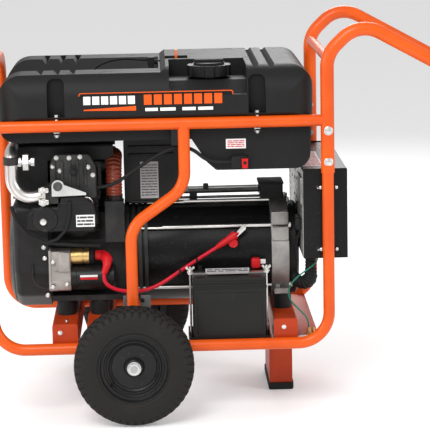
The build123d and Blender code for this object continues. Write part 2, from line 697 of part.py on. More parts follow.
def stator():
    """The steel can with its laminated ring."""
    can = ring("X", BELL[1], STATOR_END, 0, CRANK_Z, STATOR_R, STATOR_R - 4)
    core = ring("X", BELL[1] + 60, STATOR_END - 60, 0, CRANK_Z, STATOR_R - 4, ROTOR_R + 0.6)
    return [can, core]


def rotor():
    """The wound rotor on its shaft; it is bolted to the crankshaft's end."""
    body = rod("X", -150, 48, 0, CRANK_Z, ROTOR_R)
    body += rod("X", SHAFT_END, 156, 0, CRANK_Z, 17)
    return body


def rear_end_bell():
    """The bare aluminium end casting with the shaft's rear bearing and two feet."""
    shape = rod("X", STATOR_END, END_BELL_END, 0, CRANK_Z, LUG_R)
    shape -= rod("X", STATOR_END - 1, STATOR_END + 30, 0, CRANK_Z, STATOR_R - 8)
    shape -= rod("X", STATOR_END, END_BELL_END + 1, 0, CRANK_Z, 17 + SHAFT_GAP)
    for side in SIDES:
        shape += box(118, 158, side * 140, side * 96, ENGINE_BASE, 300)
        shape += box(122, 134, side * 126, side * 104, 299, 340) - rod("X", 100, 200, 0, CRANK_Z, LUG_R - 4)
    shape -= box(0, 300, -300, 300, 0, ENGINE_BASE)
    return with_bolt_holes(shape, STATOR_END, END_BELL_END)


def rear_cover():
    """A black moulded cap over the end bell."""
    x0, x1 = END_BELL_END, COVER_END
    cap = rod("X", x0, x1, 0, CRANK_Z, 126)
    cap = fillet(cap.faces().sort_by(Axis.X)[-1].edges(), 8)
    return cap - rod("X", x0 - 1, x1 - 4, 0, CRANK_Z, 118)


def stay_bolts():
    bolts = []
    for y, z in stay_bolt_places():
        bolts.append(rod("X", BELL[0], END_BELL_END, y, z, 4) + hexagon("X", END_BELL_END, END_BELL_END + 6, y, z, 13))
    return bolts


def terminal_box():
    """A black junction box on the end bell, and the wire tray that runs from it along the top."""
    top = CRANK_Z + LUG_R
    junction = box(88, 150, -46, 46, top - 12, 566)
    junction = fillet(junction.edges().filter_by(Axis.Z), 5) - rod("X", 0, 200, 0, CRANK_Z, LUG_R)
    tray = box(-127, 88, -42, 42, 545, 551)
    foot = box(-100, -80, -20, 20, CRANK_Z + STATOR_R - 4, 545) - rod("X", -200, 200, 0, CRANK_Z, STATOR_R)
    return [junction, tray + foot]


keep("bell_housing", bell_housing())
keep("muffler", muffler())
keep("stator", stator())
keep("rotor", rotor())
keep("rear_end_bell", rear_end_bell())
keep("rear_cover", rear_cover() - [hexagon("X", END_BELL_END, END_BELL_END + 6, y, z, 14)
                                   for y, z in stay_bolt_places()])
keep("stay_bolts", stay_bolts())
keep("terminal_box", terminal_box())

# ---- battery ------------------------------------------------------------------------------------
def battery():
    """A sealed battery: case, lid and two posts."""
    x0, x1, y0, y1, z0, z1 = BATTERY
    case = box(x0, x1, y0, y1, z0, z1)
    case = fillet(case.edges().filter_by(Axis.Z), 4)
    lid = box(x0 - 1.5, x1 + 1.5, y0 - 1.5, y1, z1, LID_TOP)
    posts = rod("Z", LID_TOP, LID_TOP + 14, x0 + 22, y1 - 24, 6) + rod("Z", LID_TOP, LID_TOP + 14, x1 - 22, y1 - 24, 6)
    return case + lid + posts


def battery_hold_down():
    """A bar over the lid, held by two hooked rods with wing nuts."""
    y = -200.0
    bar = box(BATTERY[0] - 11, BATTERY[1] + 11, y - 8, y + 8, LID_TOP, LID_TOP + 4)
    rods = []
    for x in (BATTERY[0] - 5.5, BATTERY[1] + 5.5):
        rods.append(rod("Z", TRAY_FLOOR + 4, LID_TOP + 20, x, y, 3))
        rods.append(rod("Z", LID_TOP + 4, LID_TOP + 12, x, y, 7))
    for piece in rods:
        bar += piece
    return bar


keep("battery", battery())
keep("battery_hold_down", battery_hold_down())

# ---- control box --------------------------------------------------------------------------------
BOX_X = (189.0, 303.0)
BOX_HALF = 250.0
BOX_Z = (402.0, 634.0)
PANEL_X = BOX_X[1] - 6
BOX_SHEET = 2.0


def control_box():
    """A folded sleeve, open to both ends of the machine, with tabs that hold it to the uprights."""
    x0, x1 = BOX_X
    shell = box(x0, x1, -BOX_HALF, BOX_HALF, *BOX_Z)
    shell -= box(x0 - 1, x1 + 1, -BOX_HALF + BOX_SHEET, BOX_HALF - BOX_SHEET, BOX_Z[0] + BOX_SHEET,
                 BOX_Z[1] - BOX_SHEET)
    for side in SIDES:
        for z in (432, 582):
            shell += box(RIGHT_X - 12, RIGHT_X + 12, side * BOX_HALF, side * SIDE_Y, z - 12, z + 12)
    return shell - [right_upright(side) for side in SIDES] - box(-200, 600, 276, 400, 0, 900) \
        - box(-200, 600, -400, -276, 0, 900)


def control_box_back():
    """The zinc-plated rear cover with two rows of louvres."""
    plate = box(BOX_X[0] - 2, BOX_X[0], -BOX_HALF + 3, BOX_HALF - 3, BOX_Z[0] + 2, BOX_Z[1] - 2)
    for y in (-225, -190, -20, 20, 190, 225):
        for n in range(9):
            z = BOX_Z[0] + 60 + 16 * n
            plate -= box(BOX_X[0] - 3, BOX_X[0] + 1, y - 13, y + 13, z, z + 5)
    return plate


OUTLETS = [(y, z) for y in (-170, -85, 85, 170) for z in (470, 560)]
SWITCH_Y, SWITCH_Z = 0.0, 560.0
BREAKER_Y, BREAKER_Z = 0.0, 470.0
TRUNNION_X, TRUNNION_R = PANEL_X - 6, 2.0


def control_panel():
    """The face plate, with its outlets and the frames of the switches."""
    x1 = PANEL_X
    inner = BOX_HALF - BOX_SHEET
    plate = box(x1 - 3, x1, -inner, inner, BOX_Z[0] + BOX_SHEET, BOX_Z[1] - BOX_SHEET)
    for y, z in OUTLETS:
        plate -= rod("X", x1 - 10, x1 + 10, y, z, 22)
    plate -= box(x1 - 10, x1 + 10, SWITCH_Y - 11, SWITCH_Y + 11, SWITCH_Z - 17, SWITCH_Z + 17)
    plate -= box(x1 - 10, x1 + 10, BREAKER_Y - 14, BREAKER_Y + 14, BREAKER_Z - 26, BREAKER_Z + 26)
    frames = [switch_frame(SWITCH_Y, SWITCH_Z, 11, 17), switch_frame(BREAKER_Y, BREAKER_Z, 14, 26)]
    outlets = []
    for y, z in OUTLETS:
        body = rod("X", x1 - 24, x1, y, z, 22) + rod("X", x1, x1 + 4, y, z, 26)
        for dy in (-6, 6):
            body -= box(x1 - 12, x1 + 5, y + dy - 1.2, y + dy + 1.2, z - 4, z + 5)
        body -= rod("X", x1 - 12, x1 + 5, y, z - 10, 2.6)
        outlets.append(body)
    return [plate] + frames + outlets


def switch_frame(y, z, half_y, half_z):
    """The open-fronted body behind the face plate that a switch's trunnions turn in."""
    x1 = PANEL_X - 3
    frame = box(x1 - 24, x1, y - half_y - 4, y + half_y + 4, z - half_z - 4, z + half_z + 4)
    frame -= box(x1 - 22, x1 + 1, y - half_y, y + half_y, z - half_z, z + half_z)
    return frame - rod("Y", y - half_y - 2, y + half_y + 2, TRUNNION_X, z, TRUNNION_R + SHAFT_GAP)


def start_switch():
    """A rocker that tips about two trunnions in its frame."""
    y, z = SWITCH_Y, SWITCH_Z
    face = prism_y([(PANEL_X - 8, z - 12), (PANEL_X + 1, z - 15), (PANEL_X + 3, z), (PANEL_X + 1, z + 15),
                    (PANEL_X - 8, z + 12)], y - 10.5, y + 10.5)
    return face + rod("Y", y - 12.5, y + 12.5, TRUNNION_X, z, TRUNNION_R)


def main_breaker():
    """The breaker's toggle: a short bat on a round boss with two trunnions."""
    y, z = BREAKER_Y, BREAKER_Z
    boss = rod("Y", y - 9, y + 9, TRUNNION_X, z, 10) + rod("Y", y - 15.5, y + 15.5, TRUNNION_X, z, TRUNNION_R)
    return boss + box(TRUNNION_X, PANEL_X + 5.5, y - 5, y + 5, z - 4, z + 4)


def harness_boot():
    """A bent rubber sleeve that leads the wires from the box's floor into the alternator's rear cover."""
    x = (BOX_X[0] + 214) / 2 + 12
    sleeve = bent_tube([(x, -150, BOX_Z[0]), (x, -150, 318), (171, -150, 318), (171, -90, 350)], [20, 18], 28)
    cover = rod("X", END_BELL_END, COVER_END, 0, CRANK_Z, 126)
    return max((sleeve - cover - PARTS["rear_end_bell"]).solids(), key=lambda s: s.volume)


keep("control_box", control_box())
keep("control_box_back", control_box_back())
keep("control_panel", control_panel())
keep("start_switch", start_switch())
keep("main_breaker", main_breaker())
keep("harness_boot", harness_boot())

# ---- fuel valve ---------------------------------------------------------------------------------
VALVE = (38.0, -286.0, 664.0)           # pivot of the valve's lever


def fuel_valve():
    """A shut-off valve on the tank's side, with the hose barb towards the engine."""
    x, y, z = VALVE
    body = box(x - 34, x + 10, y, -TANK_LEDGE, z - 14, z + 14)
    body = fillet(body.edges().filter_by(Axis.Y), 5)
    body += rod("X", x - 50, x - 30, -268, z - 1, 4)
    return body + rod("Y", y - 12, y, x, z, 4)


def fuel_valve_lever():
    x, y, z = VALVE
    lever = prism_y([(x - 7, z - 14), (x + 7, z - 14), (x + 8, z + 10), (x - 8, z + 10)], y - 11, y - 1)
    return lever - rod("Y", y - 20, y + 5, x, z, 4 + SHAFT_GAP)


keep("fuel_valve", fuel_valve())
keep("fuel_valve_lever", fuel_valve_lever())

# ---- bolts --------------------------------------------------------------------------------------
HANDLE_BOLTS = (660.0, 740.0)


def handle_bolt(z, side):
    """A through bolt in each sleeve: head outside, nut inside."""
    y = side * SIDE_Y
    outer, inner = y + side * HANDLE_TUBE / 2, y - side * HANDLE_TUBE / 2
    bolt = rod("Y", inner - side * 8, outer, RIGHT_X, z, 4) + rod("Y", outer, outer + side * 3, RIGHT_X, z, 8.5)
    bolt += hexagon("Y", inner - side * 7, inner, RIGHT_X, z, 13)
    return bolt + rod("Y", outer, outer + side * 5, RIGHT_X, z, 5)


def tank_bolt(x, side):
    y = side * SIDE_Y
    floor = LEDGE_Z + 8
    bolt = rod("Z", UPPER_Z - RAIL_R - 14, floor, x, y, 4) + hexagon("Z", floor, floor + 6, x, y, 13)
    return bolt + hexagon("Z", UPPER_Z - RAIL_R - 7, UPPER_Z - RAIL_R, x, y, 13)


def axle_nut(side):
    end = WHEEL_Y + HUB_HALF
    washer = ring("Y", side * (end + 0.5), side * (end + 3), WHEEL_X, WHEEL_R, 18, AXLE_R)
    nut = hexagon("Y", side * (end + 3), side * (end + 11), WHEEL_X, WHEEL_R, 28)
    collar = ring("Y", side * (WHEEL_Y - HUB_HALF - 8), side * (WHEEL_Y - HUB_HALF - 0.5), WHEEL_X, WHEEL_R, 15, AXLE_R)
    return [washer + (nut - axle()), collar]


bolts = [handle_bolt(z, side) for z in HANDLE_BOLTS for side in SIDES]
studs = [tank_bolt(x, side) for x in POCKETS for side in SIDES]
keep("bolts_and_nuts", bolts, studs, axle_nut(-1), axle_nut(1))
for name in ("handle_arms", "right_uprights"):
    holes = [rod("Y", -400, 400, RIGHT_X, z, 4) for z in HANDLE_BOLTS]
    keep(name, [solid - holes for solid in PARTS[name].solids()])
for name in ("upper_rails", "fuel_tank"):
    holes = [rod("Z", 700, LEDGE_Z + 9, x, side * SIDE_Y, 4) for x in POCKETS for side in SIDES]
    keep(name, [solid - holes for solid in PARTS[name].solids()])

# ---- cords --------------------------------------------------------------------------------------
# Each route is a list of points chosen along the cord as it is clipped or hangs.
ROUTES = {
    "positive_cable": (10.0, [(-356, -165, 406), (-334, -165, 406), (-320, -182, 402), (-322, -202, 388),
                              (-332, -211, 364), (-328, -211, 340), (-304, -208, 324), (-268, -204, 316),
                              (-226, -200, 317), (-186, -193, 330), (-146, -182, 354), (-104, -168, 378),
                              (-62, -156, 402), (-22, -150, 424), (8, -144, 443), (30, -134, 456)]),
    "fuel_hose": (9.5, [(-351, -200, 594), (-328, -200, 594), (-302, -207, 602), (-276, -215, 617),
                        (-244, -221, 640), (-212, -227, 662), (-178, -234, 683), (-146, -241, 698),
                        (-116, -248, 702), (-90, -256, 694), (-66, -264, 674), (-42, -268, 663),
                        (-12, -268, 663)]),
    "vent_hose": (7.0, [(-352, 30, 852), (-352, 30, 870), (-340, 30, 885), (-316, 30, 896),
                        (-288, 31, 902), (-256, 32, 904), (-228, 30, 900), (-204, 30, 900)]),
    "ground_wire": (4.0, [(226, -225, 402), (226, -225, 390), (214, -225, 378), (194, -225, 364),
                          (172, -225, 348), (154, -225, 328), (148, -225, 306), (154, -226, 286),
                          (170, -228, 268), (188, -232, 251), (200, -235, 234), (200, -235, 216)]),
}


def corner_radius(before, at, after):
    """0.45 of the shorter run over the tangent of half the turn."""
    first, second = Vector(at) - Vector(before), Vector(after) - Vector(at)
    half_turn = radians(first.get_angle(second) / 2)
    return 0.45 * min(first.length, second.length) * cos(half_turn) / sin(half_turn)


def cord(name):
    """A round tube along the route's straight runs and tangent arcs."""
    diameter, points = ROUTES[name]
    radii = [corner_radius(*points[i - 1:i + 2]) for i in range(1, len(points) - 1)]
    path = FilletPolyline(*points, radius=radii)
    section = Plane(origin=path @ 0, z_dir=path % 0) * Circle(diameter / 2)
    tube = sweep(section, path=path)
    expected = path.length * 3.14159265 * diameter ** 2 / 4
    print(name, "length", round(path.length, 1), "tightest", round(min(radii), 1),
          "volume ratio", round(tube.volume / expected, 4))
    return tube


for name in ROUTES:
    keep(name, cord(name))


def ground_stud():
    """The brass stud and nut on the end plate that the ground wire's lug is clamped by."""
    x, y, z = 200, -235, LOWER_Z + 6 + SHEET
    return rod("Z", z, 216, x, y, 5) + hexagon("Z", z, z + 8, x, y, 14)


keep("ground_stud", ground_stud())

os.makedirs("parts", exist_ok=True)
for name, shape in PARTS.items():
    export_step(shape, f"parts/{name}.step")
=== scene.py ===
# %% [markdown]
# # A wheeled generator, piece by piece
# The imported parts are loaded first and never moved: frame tubes, tank, engine, alternator and so on already
# have their true shapes. The cells below light them, give them finishes and add the smaller pieces that a
# maker would fit last. Every length is in metres, with +X towards the push handle and +Z up.

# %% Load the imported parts
import math

import bmesh
import bpy
import numpy as np
from mathutils import Matrix, Vector


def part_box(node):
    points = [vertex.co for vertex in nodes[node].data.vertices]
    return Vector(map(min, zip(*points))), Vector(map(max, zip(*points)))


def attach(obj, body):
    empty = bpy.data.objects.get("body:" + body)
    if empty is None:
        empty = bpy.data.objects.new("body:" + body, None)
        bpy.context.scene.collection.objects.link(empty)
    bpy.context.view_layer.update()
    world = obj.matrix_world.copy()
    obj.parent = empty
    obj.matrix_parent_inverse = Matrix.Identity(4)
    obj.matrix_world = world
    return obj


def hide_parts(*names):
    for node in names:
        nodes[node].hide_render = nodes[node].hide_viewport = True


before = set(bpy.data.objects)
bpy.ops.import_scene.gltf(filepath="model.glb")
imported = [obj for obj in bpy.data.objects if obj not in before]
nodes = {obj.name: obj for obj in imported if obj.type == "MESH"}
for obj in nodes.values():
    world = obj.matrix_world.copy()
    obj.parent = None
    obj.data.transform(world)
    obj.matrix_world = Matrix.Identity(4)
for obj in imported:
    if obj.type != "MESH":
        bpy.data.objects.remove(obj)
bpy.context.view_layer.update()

# %% [markdown]
# ## Camera
# A long lens from far away keeps parallel tubes almost parallel, as in a catalogue. The camera could be
# aimed with a constraint, but a plain rotation matrix is easier to read: its columns are the camera's own
# right, up and backward directions, worked out from a heading, a downward pitch and a small roll.

# %% Camera
def turned_camera(place, heading, pitch, roll, lens):
    """Forward is (sin h cos p, cos h cos p, -sin p); right and up are turned about it by the roll."""
    forward = Vector((math.sin(heading) * math.cos(pitch), math.cos(heading) * math.cos(pitch),
                      -math.sin(pitch)))
    level_right = Vector((math.cos(heading), -math.sin(heading), 0))
    level_up = level_right.cross(forward)
    right = level_right * math.cos(roll) - level_up * math.sin(roll)
    up = level_right * math.sin(roll) + level_up * math.cos(roll)
    data = bpy.data.cameras.new("camera")
    data.lens, data.sensor_width = lens, 36.0
    data.clip_end = 100.0
    camera = bpy.data.objects.new("camera", data)
    camera.matrix_world = Matrix.Translation(place) @ Matrix((right, up, -forward)).transposed().to_4x4()
    bpy.context.scene.collection.objects.link(camera)
    return camera


bpy.context.scene.camera = turned_camera((-0.186, -5.2623, 1.4371), 0.0292, 0.1804, 0.02, 165.5)
bpy.context.scene.view_settings.view_transform = "Standard"
print("camera lens:", bpy.context.scene.camera.data.lens)

# %% [markdown]
# ## Shader sums
# A finish is a network of nodes. Wiring each node by hand hides the idea behind it, so a socket is wrapped
# in a small class that understands + - *, and an expression such as `1 - mask * 0.3` adds its own Math
# nodes.

# %% Wrapped sockets
class Wire:
    """One output socket of a material, ready for use in sums."""

    def __init__(self, tree, socket):
        self.tree, self.socket = tree, socket

    def node(self, kind, settings=None, inputs=None, output=0):
        return add_node(self.tree, kind, settings, inputs, output)

    def maths(self, operation, *values):
        return self.node("ShaderNodeMath", {"operation": operation}, dict(enumerate(values)))

    def __add__(self, other):
        return self.maths("ADD", self, other)

    def __sub__(self, other):
        return self.maths("SUBTRACT", self, other)

    def __rsub__(self, other):
        return self.maths("SUBTRACT", other, self)

    def __mul__(self, other):
        return self.maths("MULTIPLY", self, other)

    __radd__, __rmul__ = __add__, __mul__

    def step(self, low, high):
        """0 below low, 1 above high, a straight ramp between."""
        return self.node("ShaderNodeMapRange", {}, {0: self, 1: low, 2: high, 3: 0.0, 4: 1.0})


def add_node(tree, kind, settings=None, inputs=None, output=0):
    """Adds any node: its settings first, then a value or a wire for each named or numbered socket."""
    node = tree.nodes.new(kind)
    for name, value in (settings or {}).items():
        setattr(node, name, value)
    for name, value in (inputs or {}).items():
        if isinstance(value, Wire):
            tree.links.new(value.socket, node.inputs[name])
        elif value is not None:
            node.inputs[name].default_value = value
    return Wire(tree, node.outputs[output])


class Finish:
    """A material under construction: its coordinates, some noise, and the principled shader."""

    def __init__(self, name):
        self.material = bpy.data.materials.new(name)
        self.material.use_nodes = True
        self.tree = self.material.node_tree
        self.tree.nodes.clear()
        self.place = add_node(self.tree, "ShaderNodeTexCoord", output=3)

    def axis(self, index):
        return add_node(self.tree, "ShaderNodeSeparateXYZ", {}, {0: self.place}, index)

    def noise(self, scale, detail=3.0, stretch=(1, 1, 1), rough=0.5):
        where = add_node(self.tree, "ShaderNodeMapping", {}, {"Vector": self.place, "Scale": stretch})
        return add_node(self.tree, "ShaderNodeTexNoise", {},
                        {"Vector": where, "Scale": scale, "Detail": detail, "Roughness": rough})

    def cells(self, scale, stretch=(1, 1, 1)):
        where = add_node(self.tree, "ShaderNodeMapping", {}, {"Vector": self.place, "Scale": stretch})
        return add_node(self.tree, "ShaderNodeTexVoronoi", {}, {"Vector": where, "Scale": scale})

    def mix(self, factor, a, b):
        """Colour a where the factor is 0, colour b where it is 1."""
        return add_node(self.tree, "ShaderNodeMix", {"data_type": "RGBA"}, {0: factor, 6: a, 7: b}, 2)

    def close(self, colour, rough, metal=0.0, bump=None, strength=0.3, distance=0.0005, coat=0.0,
              shine=0.5, **extra):
        inputs = {"Base Color": colour, "Roughness": rough, "Metallic": metal, "Coat Weight": coat,
                  "Coat Roughness": 0.12, "Specular IOR Level": shine}
        inputs.update(extra)
        if bump is not None:
            inputs["Normal"] = add_node(self.tree, "ShaderNodeBump", {},
                                        {"Strength": strength, "Distance": distance, "Height": bump})
        shader = add_node(self.tree, "ShaderNodeBsdfPrincipled", {}, inputs)
        out = self.tree.nodes.new("ShaderNodeOutputMaterial")
        self.tree.links.new(shader.socket, out.inputs["Surface"])
        return self.material


def rgb(red, green, blue):
    return (red, green, blue, 1.0)


# %% [markdown]
# ## Finishes
# A real surface is never one colour: paint has orange peel and thin dust, a cast part has sand grain, a
# moulded tank has a leathery skin. Each finish below mixes two near colours with a noise, lets the same
# noise change the gloss, and raises a fine bump. Finishes that differ only in colour share one recipe.

# %% Paint, plastic and rubber recipes
def paint(name, colour, shade, rough=0.28, coat=0.5, peel=0.12, metal=0.0, shine=0.5):
    """Sprayed paint: a slow drift between two tones, a fine orange peel and a little dust in the gloss."""
    f = Finish(name)
    drift, dust = f.noise(9, 4), f.noise(160, 5)
    tone = f.mix(drift.step(0.35, 0.68), rgb(*colour), rgb(*shade))
    tone = f.mix(dust.step(0.62, 0.8) * 0.10, tone, rgb(0.55, 0.5, 0.45))
    return f.close(tone, rough + dust * 0.14, metal, f.noise(620, 2), peel, 0.0004, coat, shine)


def moulded(name, colour, shade, rough=0.5, grain=900, strength=0.35, shine=0.22):
    """Moulded plastic or rubber: a fine leathery grain, scuffs that are lighter and duller."""
    f = Finish(name)
    scuff = f.noise(26, 6, rough=0.65).step(0.56, 0.75)
    skin = f.cells(grain)
    tone = f.mix(scuff * 0.45, rgb(*colour), rgb(*shade))
    return f.close(tone, rough + scuff * 0.16 + skin * 0.05, 0.0, skin + f.noise(260, 3) * 0.6, strength,
                   0.0004, 0.0, shine)


def cast(name, colour, shade, rough=0.5, metal=0.9, sand=700, strength=0.45):
    """Sand or die cast metal: speckled grain, darker where grime has settled low in the noise."""
    f = Finish(name)
    grime, grain = f.noise(18, 6, rough=0.6), f.noise(sand, 3)
    tone = f.mix(grime.step(0.4, 0.66), rgb(*shade), rgb(*colour))
    return f.close(tone, rough + grime * 0.15 - grain * 0.1, metal, grain + f.cells(sand * 0.6) * 0.4,
                   strength, 0.0005)


def plated(name, colour, shade, rough=0.28, stretch=(1, 1, 1), scale=240):
    """Plated or drawn metal: long fine streaks along the stretch, and a cloudy bloom of the plating."""
    f = Finish(name)
    streak, bloom = f.noise(scale, 4, stretch), f.noise(30, 5)
    tone = f.mix(bloom.step(0.35, 0.7), rgb(*colour), rgb(*shade))
    return f.close(tone, rough + streak * 0.2, 1.0, streak, 0.12, 0.0003)


ORANGE = paint("orange_paint", (0.76, 0.100, 0.004), (0.64, 0.076, 0.003), 0.30, 0.1, shine=0.28)
# A darker, duller copy of the orange paint is painted shade: the cross channels and the foot channel face
# down, out of the lamps' light.
ORANGE_SHADED = paint("orange_paint_shaded", (0.50, 0.050, 0.004), (0.38, 0.032, 0.003), 0.36, 0.05, shine=0.25)
TANK = moulded("tank_skin", (0.010, 0.010, 0.010), (0.019, 0.0185, 0.018), 0.50, 1100, 0.25, 0.2)
CAP = moulded("cap_skin", (0.010, 0.010, 0.010), (0.03, 0.03, 0.03), 0.42, 800, 0.4)
BLACK = paint("black_paint", (0.007, 0.007, 0.007), (0.013, 0.012, 0.012), 0.38, 0.05, shine=0.25)
GLOSS_BLACK = paint("gloss_black_paint", (0.004, 0.004, 0.0045), (0.007, 0.007, 0.007), 0.26, 0.03, 0.02,
                    0.0, 0.18)
GREY_BRACKET = paint("grey_bracket", (0.10, 0.105, 0.105), (0.07, 0.075, 0.075), 0.45, 0.1)
RUBBER = moulded("black_rubber", (0.011, 0.011, 0.011), (0.03, 0.029, 0.028), 0.62, 600, 0.4)
TYRE = moulded("tyre_rubber", (0.014, 0.013, 0.012), (0.034, 0.031, 0.028), 0.68, 420, 0.5)
PLASTIC = moulded("black_plastic", (0.010, 0.010, 0.010), (0.026, 0.026, 0.026), 0.44, 900, 0.3)
BATTERY = moulded("battery_plastic", (0.013, 0.013, 0.012), (0.028, 0.027, 0.026), 0.40, 700, 0.35)
RED = moulded("red_rubber", (0.55, 0.010, 0.014), (0.42, 0.008, 0.010), 0.38, 900, 0.15)
RED_CABLE = moulded("red_cable", (0.58, 0.012, 0.030), (0.45, 0.010, 0.020), 0.34, 1200, 0.10)
GREEN = moulded("green_wire", (0.012, 0.16, 0.10), (0.010, 0.10, 0.06), 0.35, 1200, 0.1)
DUCT = moulded("duct_plastic", (0.24, 0.040, 0.018), (0.14, 0.022, 0.012), 0.34, 700, 0.1, 0.5)
WHITE = paint("white_label", (0.80, 0.80, 0.79), (0.72, 0.71, 0.70), 0.5, 0.0, 0.05)
GREY_LABEL = paint("grey_label", (0.50, 0.49, 0.49), (0.42, 0.40, 0.40), 0.5, 0.0, 0.05)
INK = paint("label_ink", (0.05, 0.05, 0.055), (0.08, 0.08, 0.08), 0.5, 0.0, 0.05)
RED_INK = paint("red_ink", (0.55, 0.05, 0.05), (0.45, 0.04, 0.04), 0.45, 0.0, 0.05)
print("painted and moulded finishes made")


def eye_paint():
    """The lifting eye is orange where it shows above the tank; its strap under the tank is black."""
    f = Finish("eye_paint")
    tone = f.mix(f.axis(2).step(0.86, 0.87), rgb(0.006, 0.006, 0.006), rgb(0.72, 0.115, 0.012))
    return f.close(tone, 0.35, 0.0, f.noise(620, 2), 0.1, 0.0004, 0.1, 0.3)


EYE = eye_paint()

# %% [markdown]
# ## Bare metals
# The castings, plated bolts and exhaust are bare metal. A flat picture of brushed steel could be wrapped
# round them, but a noise stretched along one axis gives the same streaks at any size. The exhaust adds
# straw bands of heat that follow one axis of the pipe.

# %% Metal finishes
CAST_ALU = cast("cast_aluminium", (0.42, 0.41, 0.39), (0.26, 0.25, 0.24), 0.48)
DARK_CAST = cast("dark_cast", (0.045, 0.044, 0.043), (0.02, 0.02, 0.02), 0.5, 0.5)
GREY_CAST = cast("grey_cast", (0.13, 0.13, 0.125), (0.06, 0.06, 0.06), 0.5, 0.7)
STARTER_CAST = cast("starter_cast", (0.50, 0.46, 0.43), (0.36, 0.33, 0.31), 0.42, 0.85, 900, 0.3)
ZINC = plated("zinc", (0.72, 0.72, 0.70), (0.55, 0.56, 0.56), 0.26)
BACK_ZINC = plated("sheet_zinc", (0.50, 0.50, 0.48), (0.32, 0.32, 0.31), 0.36)
ROD_ZINC = plated("rod_zinc", (0.80, 0.79, 0.76), (0.64, 0.63, 0.60), 0.22, (0.05, 1, 1))
STEEL = plated("machined_steel", (0.52, 0.52, 0.52), (0.40, 0.40, 0.40), 0.3)
GOLD = plated("yellow_chromate", (0.78, 0.52, 0.20), (0.66, 0.45, 0.22), 0.25, (0.1, 1, 1))
BRASS = plated("brass", (0.72, 0.48, 0.18), (0.55, 0.36, 0.14), 0.3)


def hot_pipe():
    """Exhaust steel: brushed, with straw bands of heat close to the port end."""
    f = Finish("exhaust_steel")
    streak, cloud = f.noise(180, 4, (1, 1, 0.25)), f.noise(22, 5)
    low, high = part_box("exhaust_elbow")
    along = (f.axis(0) - low.x) * (1 / (high.x - low.x))
    heat = along.step(0.70, 1.0) * cloud.step(0.25, 0.65)
    tone = f.mix(cloud.step(0.3, 0.75), rgb(0.80, 0.79, 0.76), rgb(0.62, 0.61, 0.59))
    tone = f.mix(heat * 0.5, tone, rgb(0.52, 0.42, 0.30))
    return f.close(tone, 0.24 + streak * 0.2, 1.0, streak, 0.15, 0.0004)


EXHAUST = hot_pipe()
print("metal finishes made")

# %% [markdown]
# ## Floor and light
# A plain pale floor and a white surrounding light stand in for a studio. One broad lamp in front and above
# draws the long highlights on the tubes, and two weaker ones at the sides keep the black parts readable.

# %% Floor and lamps
def soft_lamp(name, place, target, size, power):
    data = bpy.data.lights.new(name, "AREA")
    data.shape, data.size, data.energy = "DISK", size, power
    lamp = bpy.data.objects.new(name, data)
    lamp.location = place
    lamp.rotation_euler = (Vector(target) - Vector(place)).to_track_quat("-Z", "Y").to_euler()
    bpy.context.scene.collection.objects.link(lamp)


def studio():
    floor_finish = Finish("studio_floor")
    tone = floor_finish.mix(floor_finish.noise(0.8, 2), rgb(0.86, 0.86, 0.86), rgb(0.84, 0.84, 0.84))
    floor_finish.close(tone, 0.8, **{"Emission Color": rgb(1, 1, 1), "Emission Strength": 0.22})
    mesh = bpy.data.meshes.new("floor")
    mesh.from_pydata([(-30, -30, 0), (30, -30, 0), (30, 60, 0), (-30, 60, 0)], [], [(0, 1, 2, 3)])
    mesh.materials.append(floor_finish.material)
    floor = bpy.data.objects.new("floor", mesh)
    bpy.context.scene.collection.objects.link(floor)
    world = bpy.data.worlds.new("studio")
    world.use_nodes = True
    sky = world.node_tree.nodes["Background"]
    sky.inputs["Color"].default_value = (1, 1, 1, 1)
    seen = add_node(world.node_tree, "ShaderNodeLightPath")
    world.node_tree.links.new((seen * 0.42 + 0.58).socket, sky.inputs["Strength"])
    bpy.context.scene.world = world
    soft_lamp("key", (-1.2, -3.2, 3.4), (0, 0, 0.6), 2.2, 110)
    soft_lamp("left", (-3.4, -1.4, 1.6), (0, 0, 0.5), 1.6, 45)
    soft_lamp("right", (3.2, -1.8, 2.0), (0, 0, 0.6), 1.6, 40)
    soft_lamp("back", (0.5, 3.4, 2.6), (0, 0, 0.6), 2.0, 60)


studio()
print("studio lit")

# %% [markdown]
# ## Surfaces as functions
# Every new piece is a grid of points worked out at once with numpy: an outline pushed along a line, an
# outline turned round an axis, or a ring carried along a path. Modelling by hand would be as quick for one
# piece, but a formula keeps sizes exact, closes its own seams and can be reused for fifty bolts.

# %% Grids and outlines
def grid_faces(rows, columns):
    """Quads between neighbouring rows; the last column joins the first."""
    r, c = np.meshgrid(np.arange(rows - 1), np.arange(columns), indexing="ij")
    nxt = (c + 1) % columns
    return np.stack([r * columns + c, r * columns + nxt, (r + 1) * columns + nxt, (r + 1) * columns + c],
                    -1).reshape(-1, 4)


def looped_grid(points):
    """Rings whose last row joins the first, for a tyre or any other closed tube."""
    rows, columns = points.shape[:2]
    again = np.concatenate([points, points[:1]])
    faces = grid_faces(rows + 1, columns) % (rows * columns)
    return again[:-1].reshape(-1, 3), faces.tolist()


def closed_grid(points):
    """A stack of rings, shape (rows, columns, 3), with a flat cap on the first and the last ring."""
    rows, columns = points.shape[:2]
    first = list(range(columns))
    last = list(range((rows - 1) * columns, rows * columns))
    return points.reshape(-1, 3), grid_faces(rows, columns).tolist() + [first, last]


def joined(*shapes):
    """Several (points, faces) shapes as one."""
    points, faces, base = [], [], 0
    for some_points, some_faces in shapes:
        points.append(np.asarray(some_points))
        faces += [[i + base for i in face] for face in some_faces]
        base += len(some_points)
    return np.concatenate(points), faces


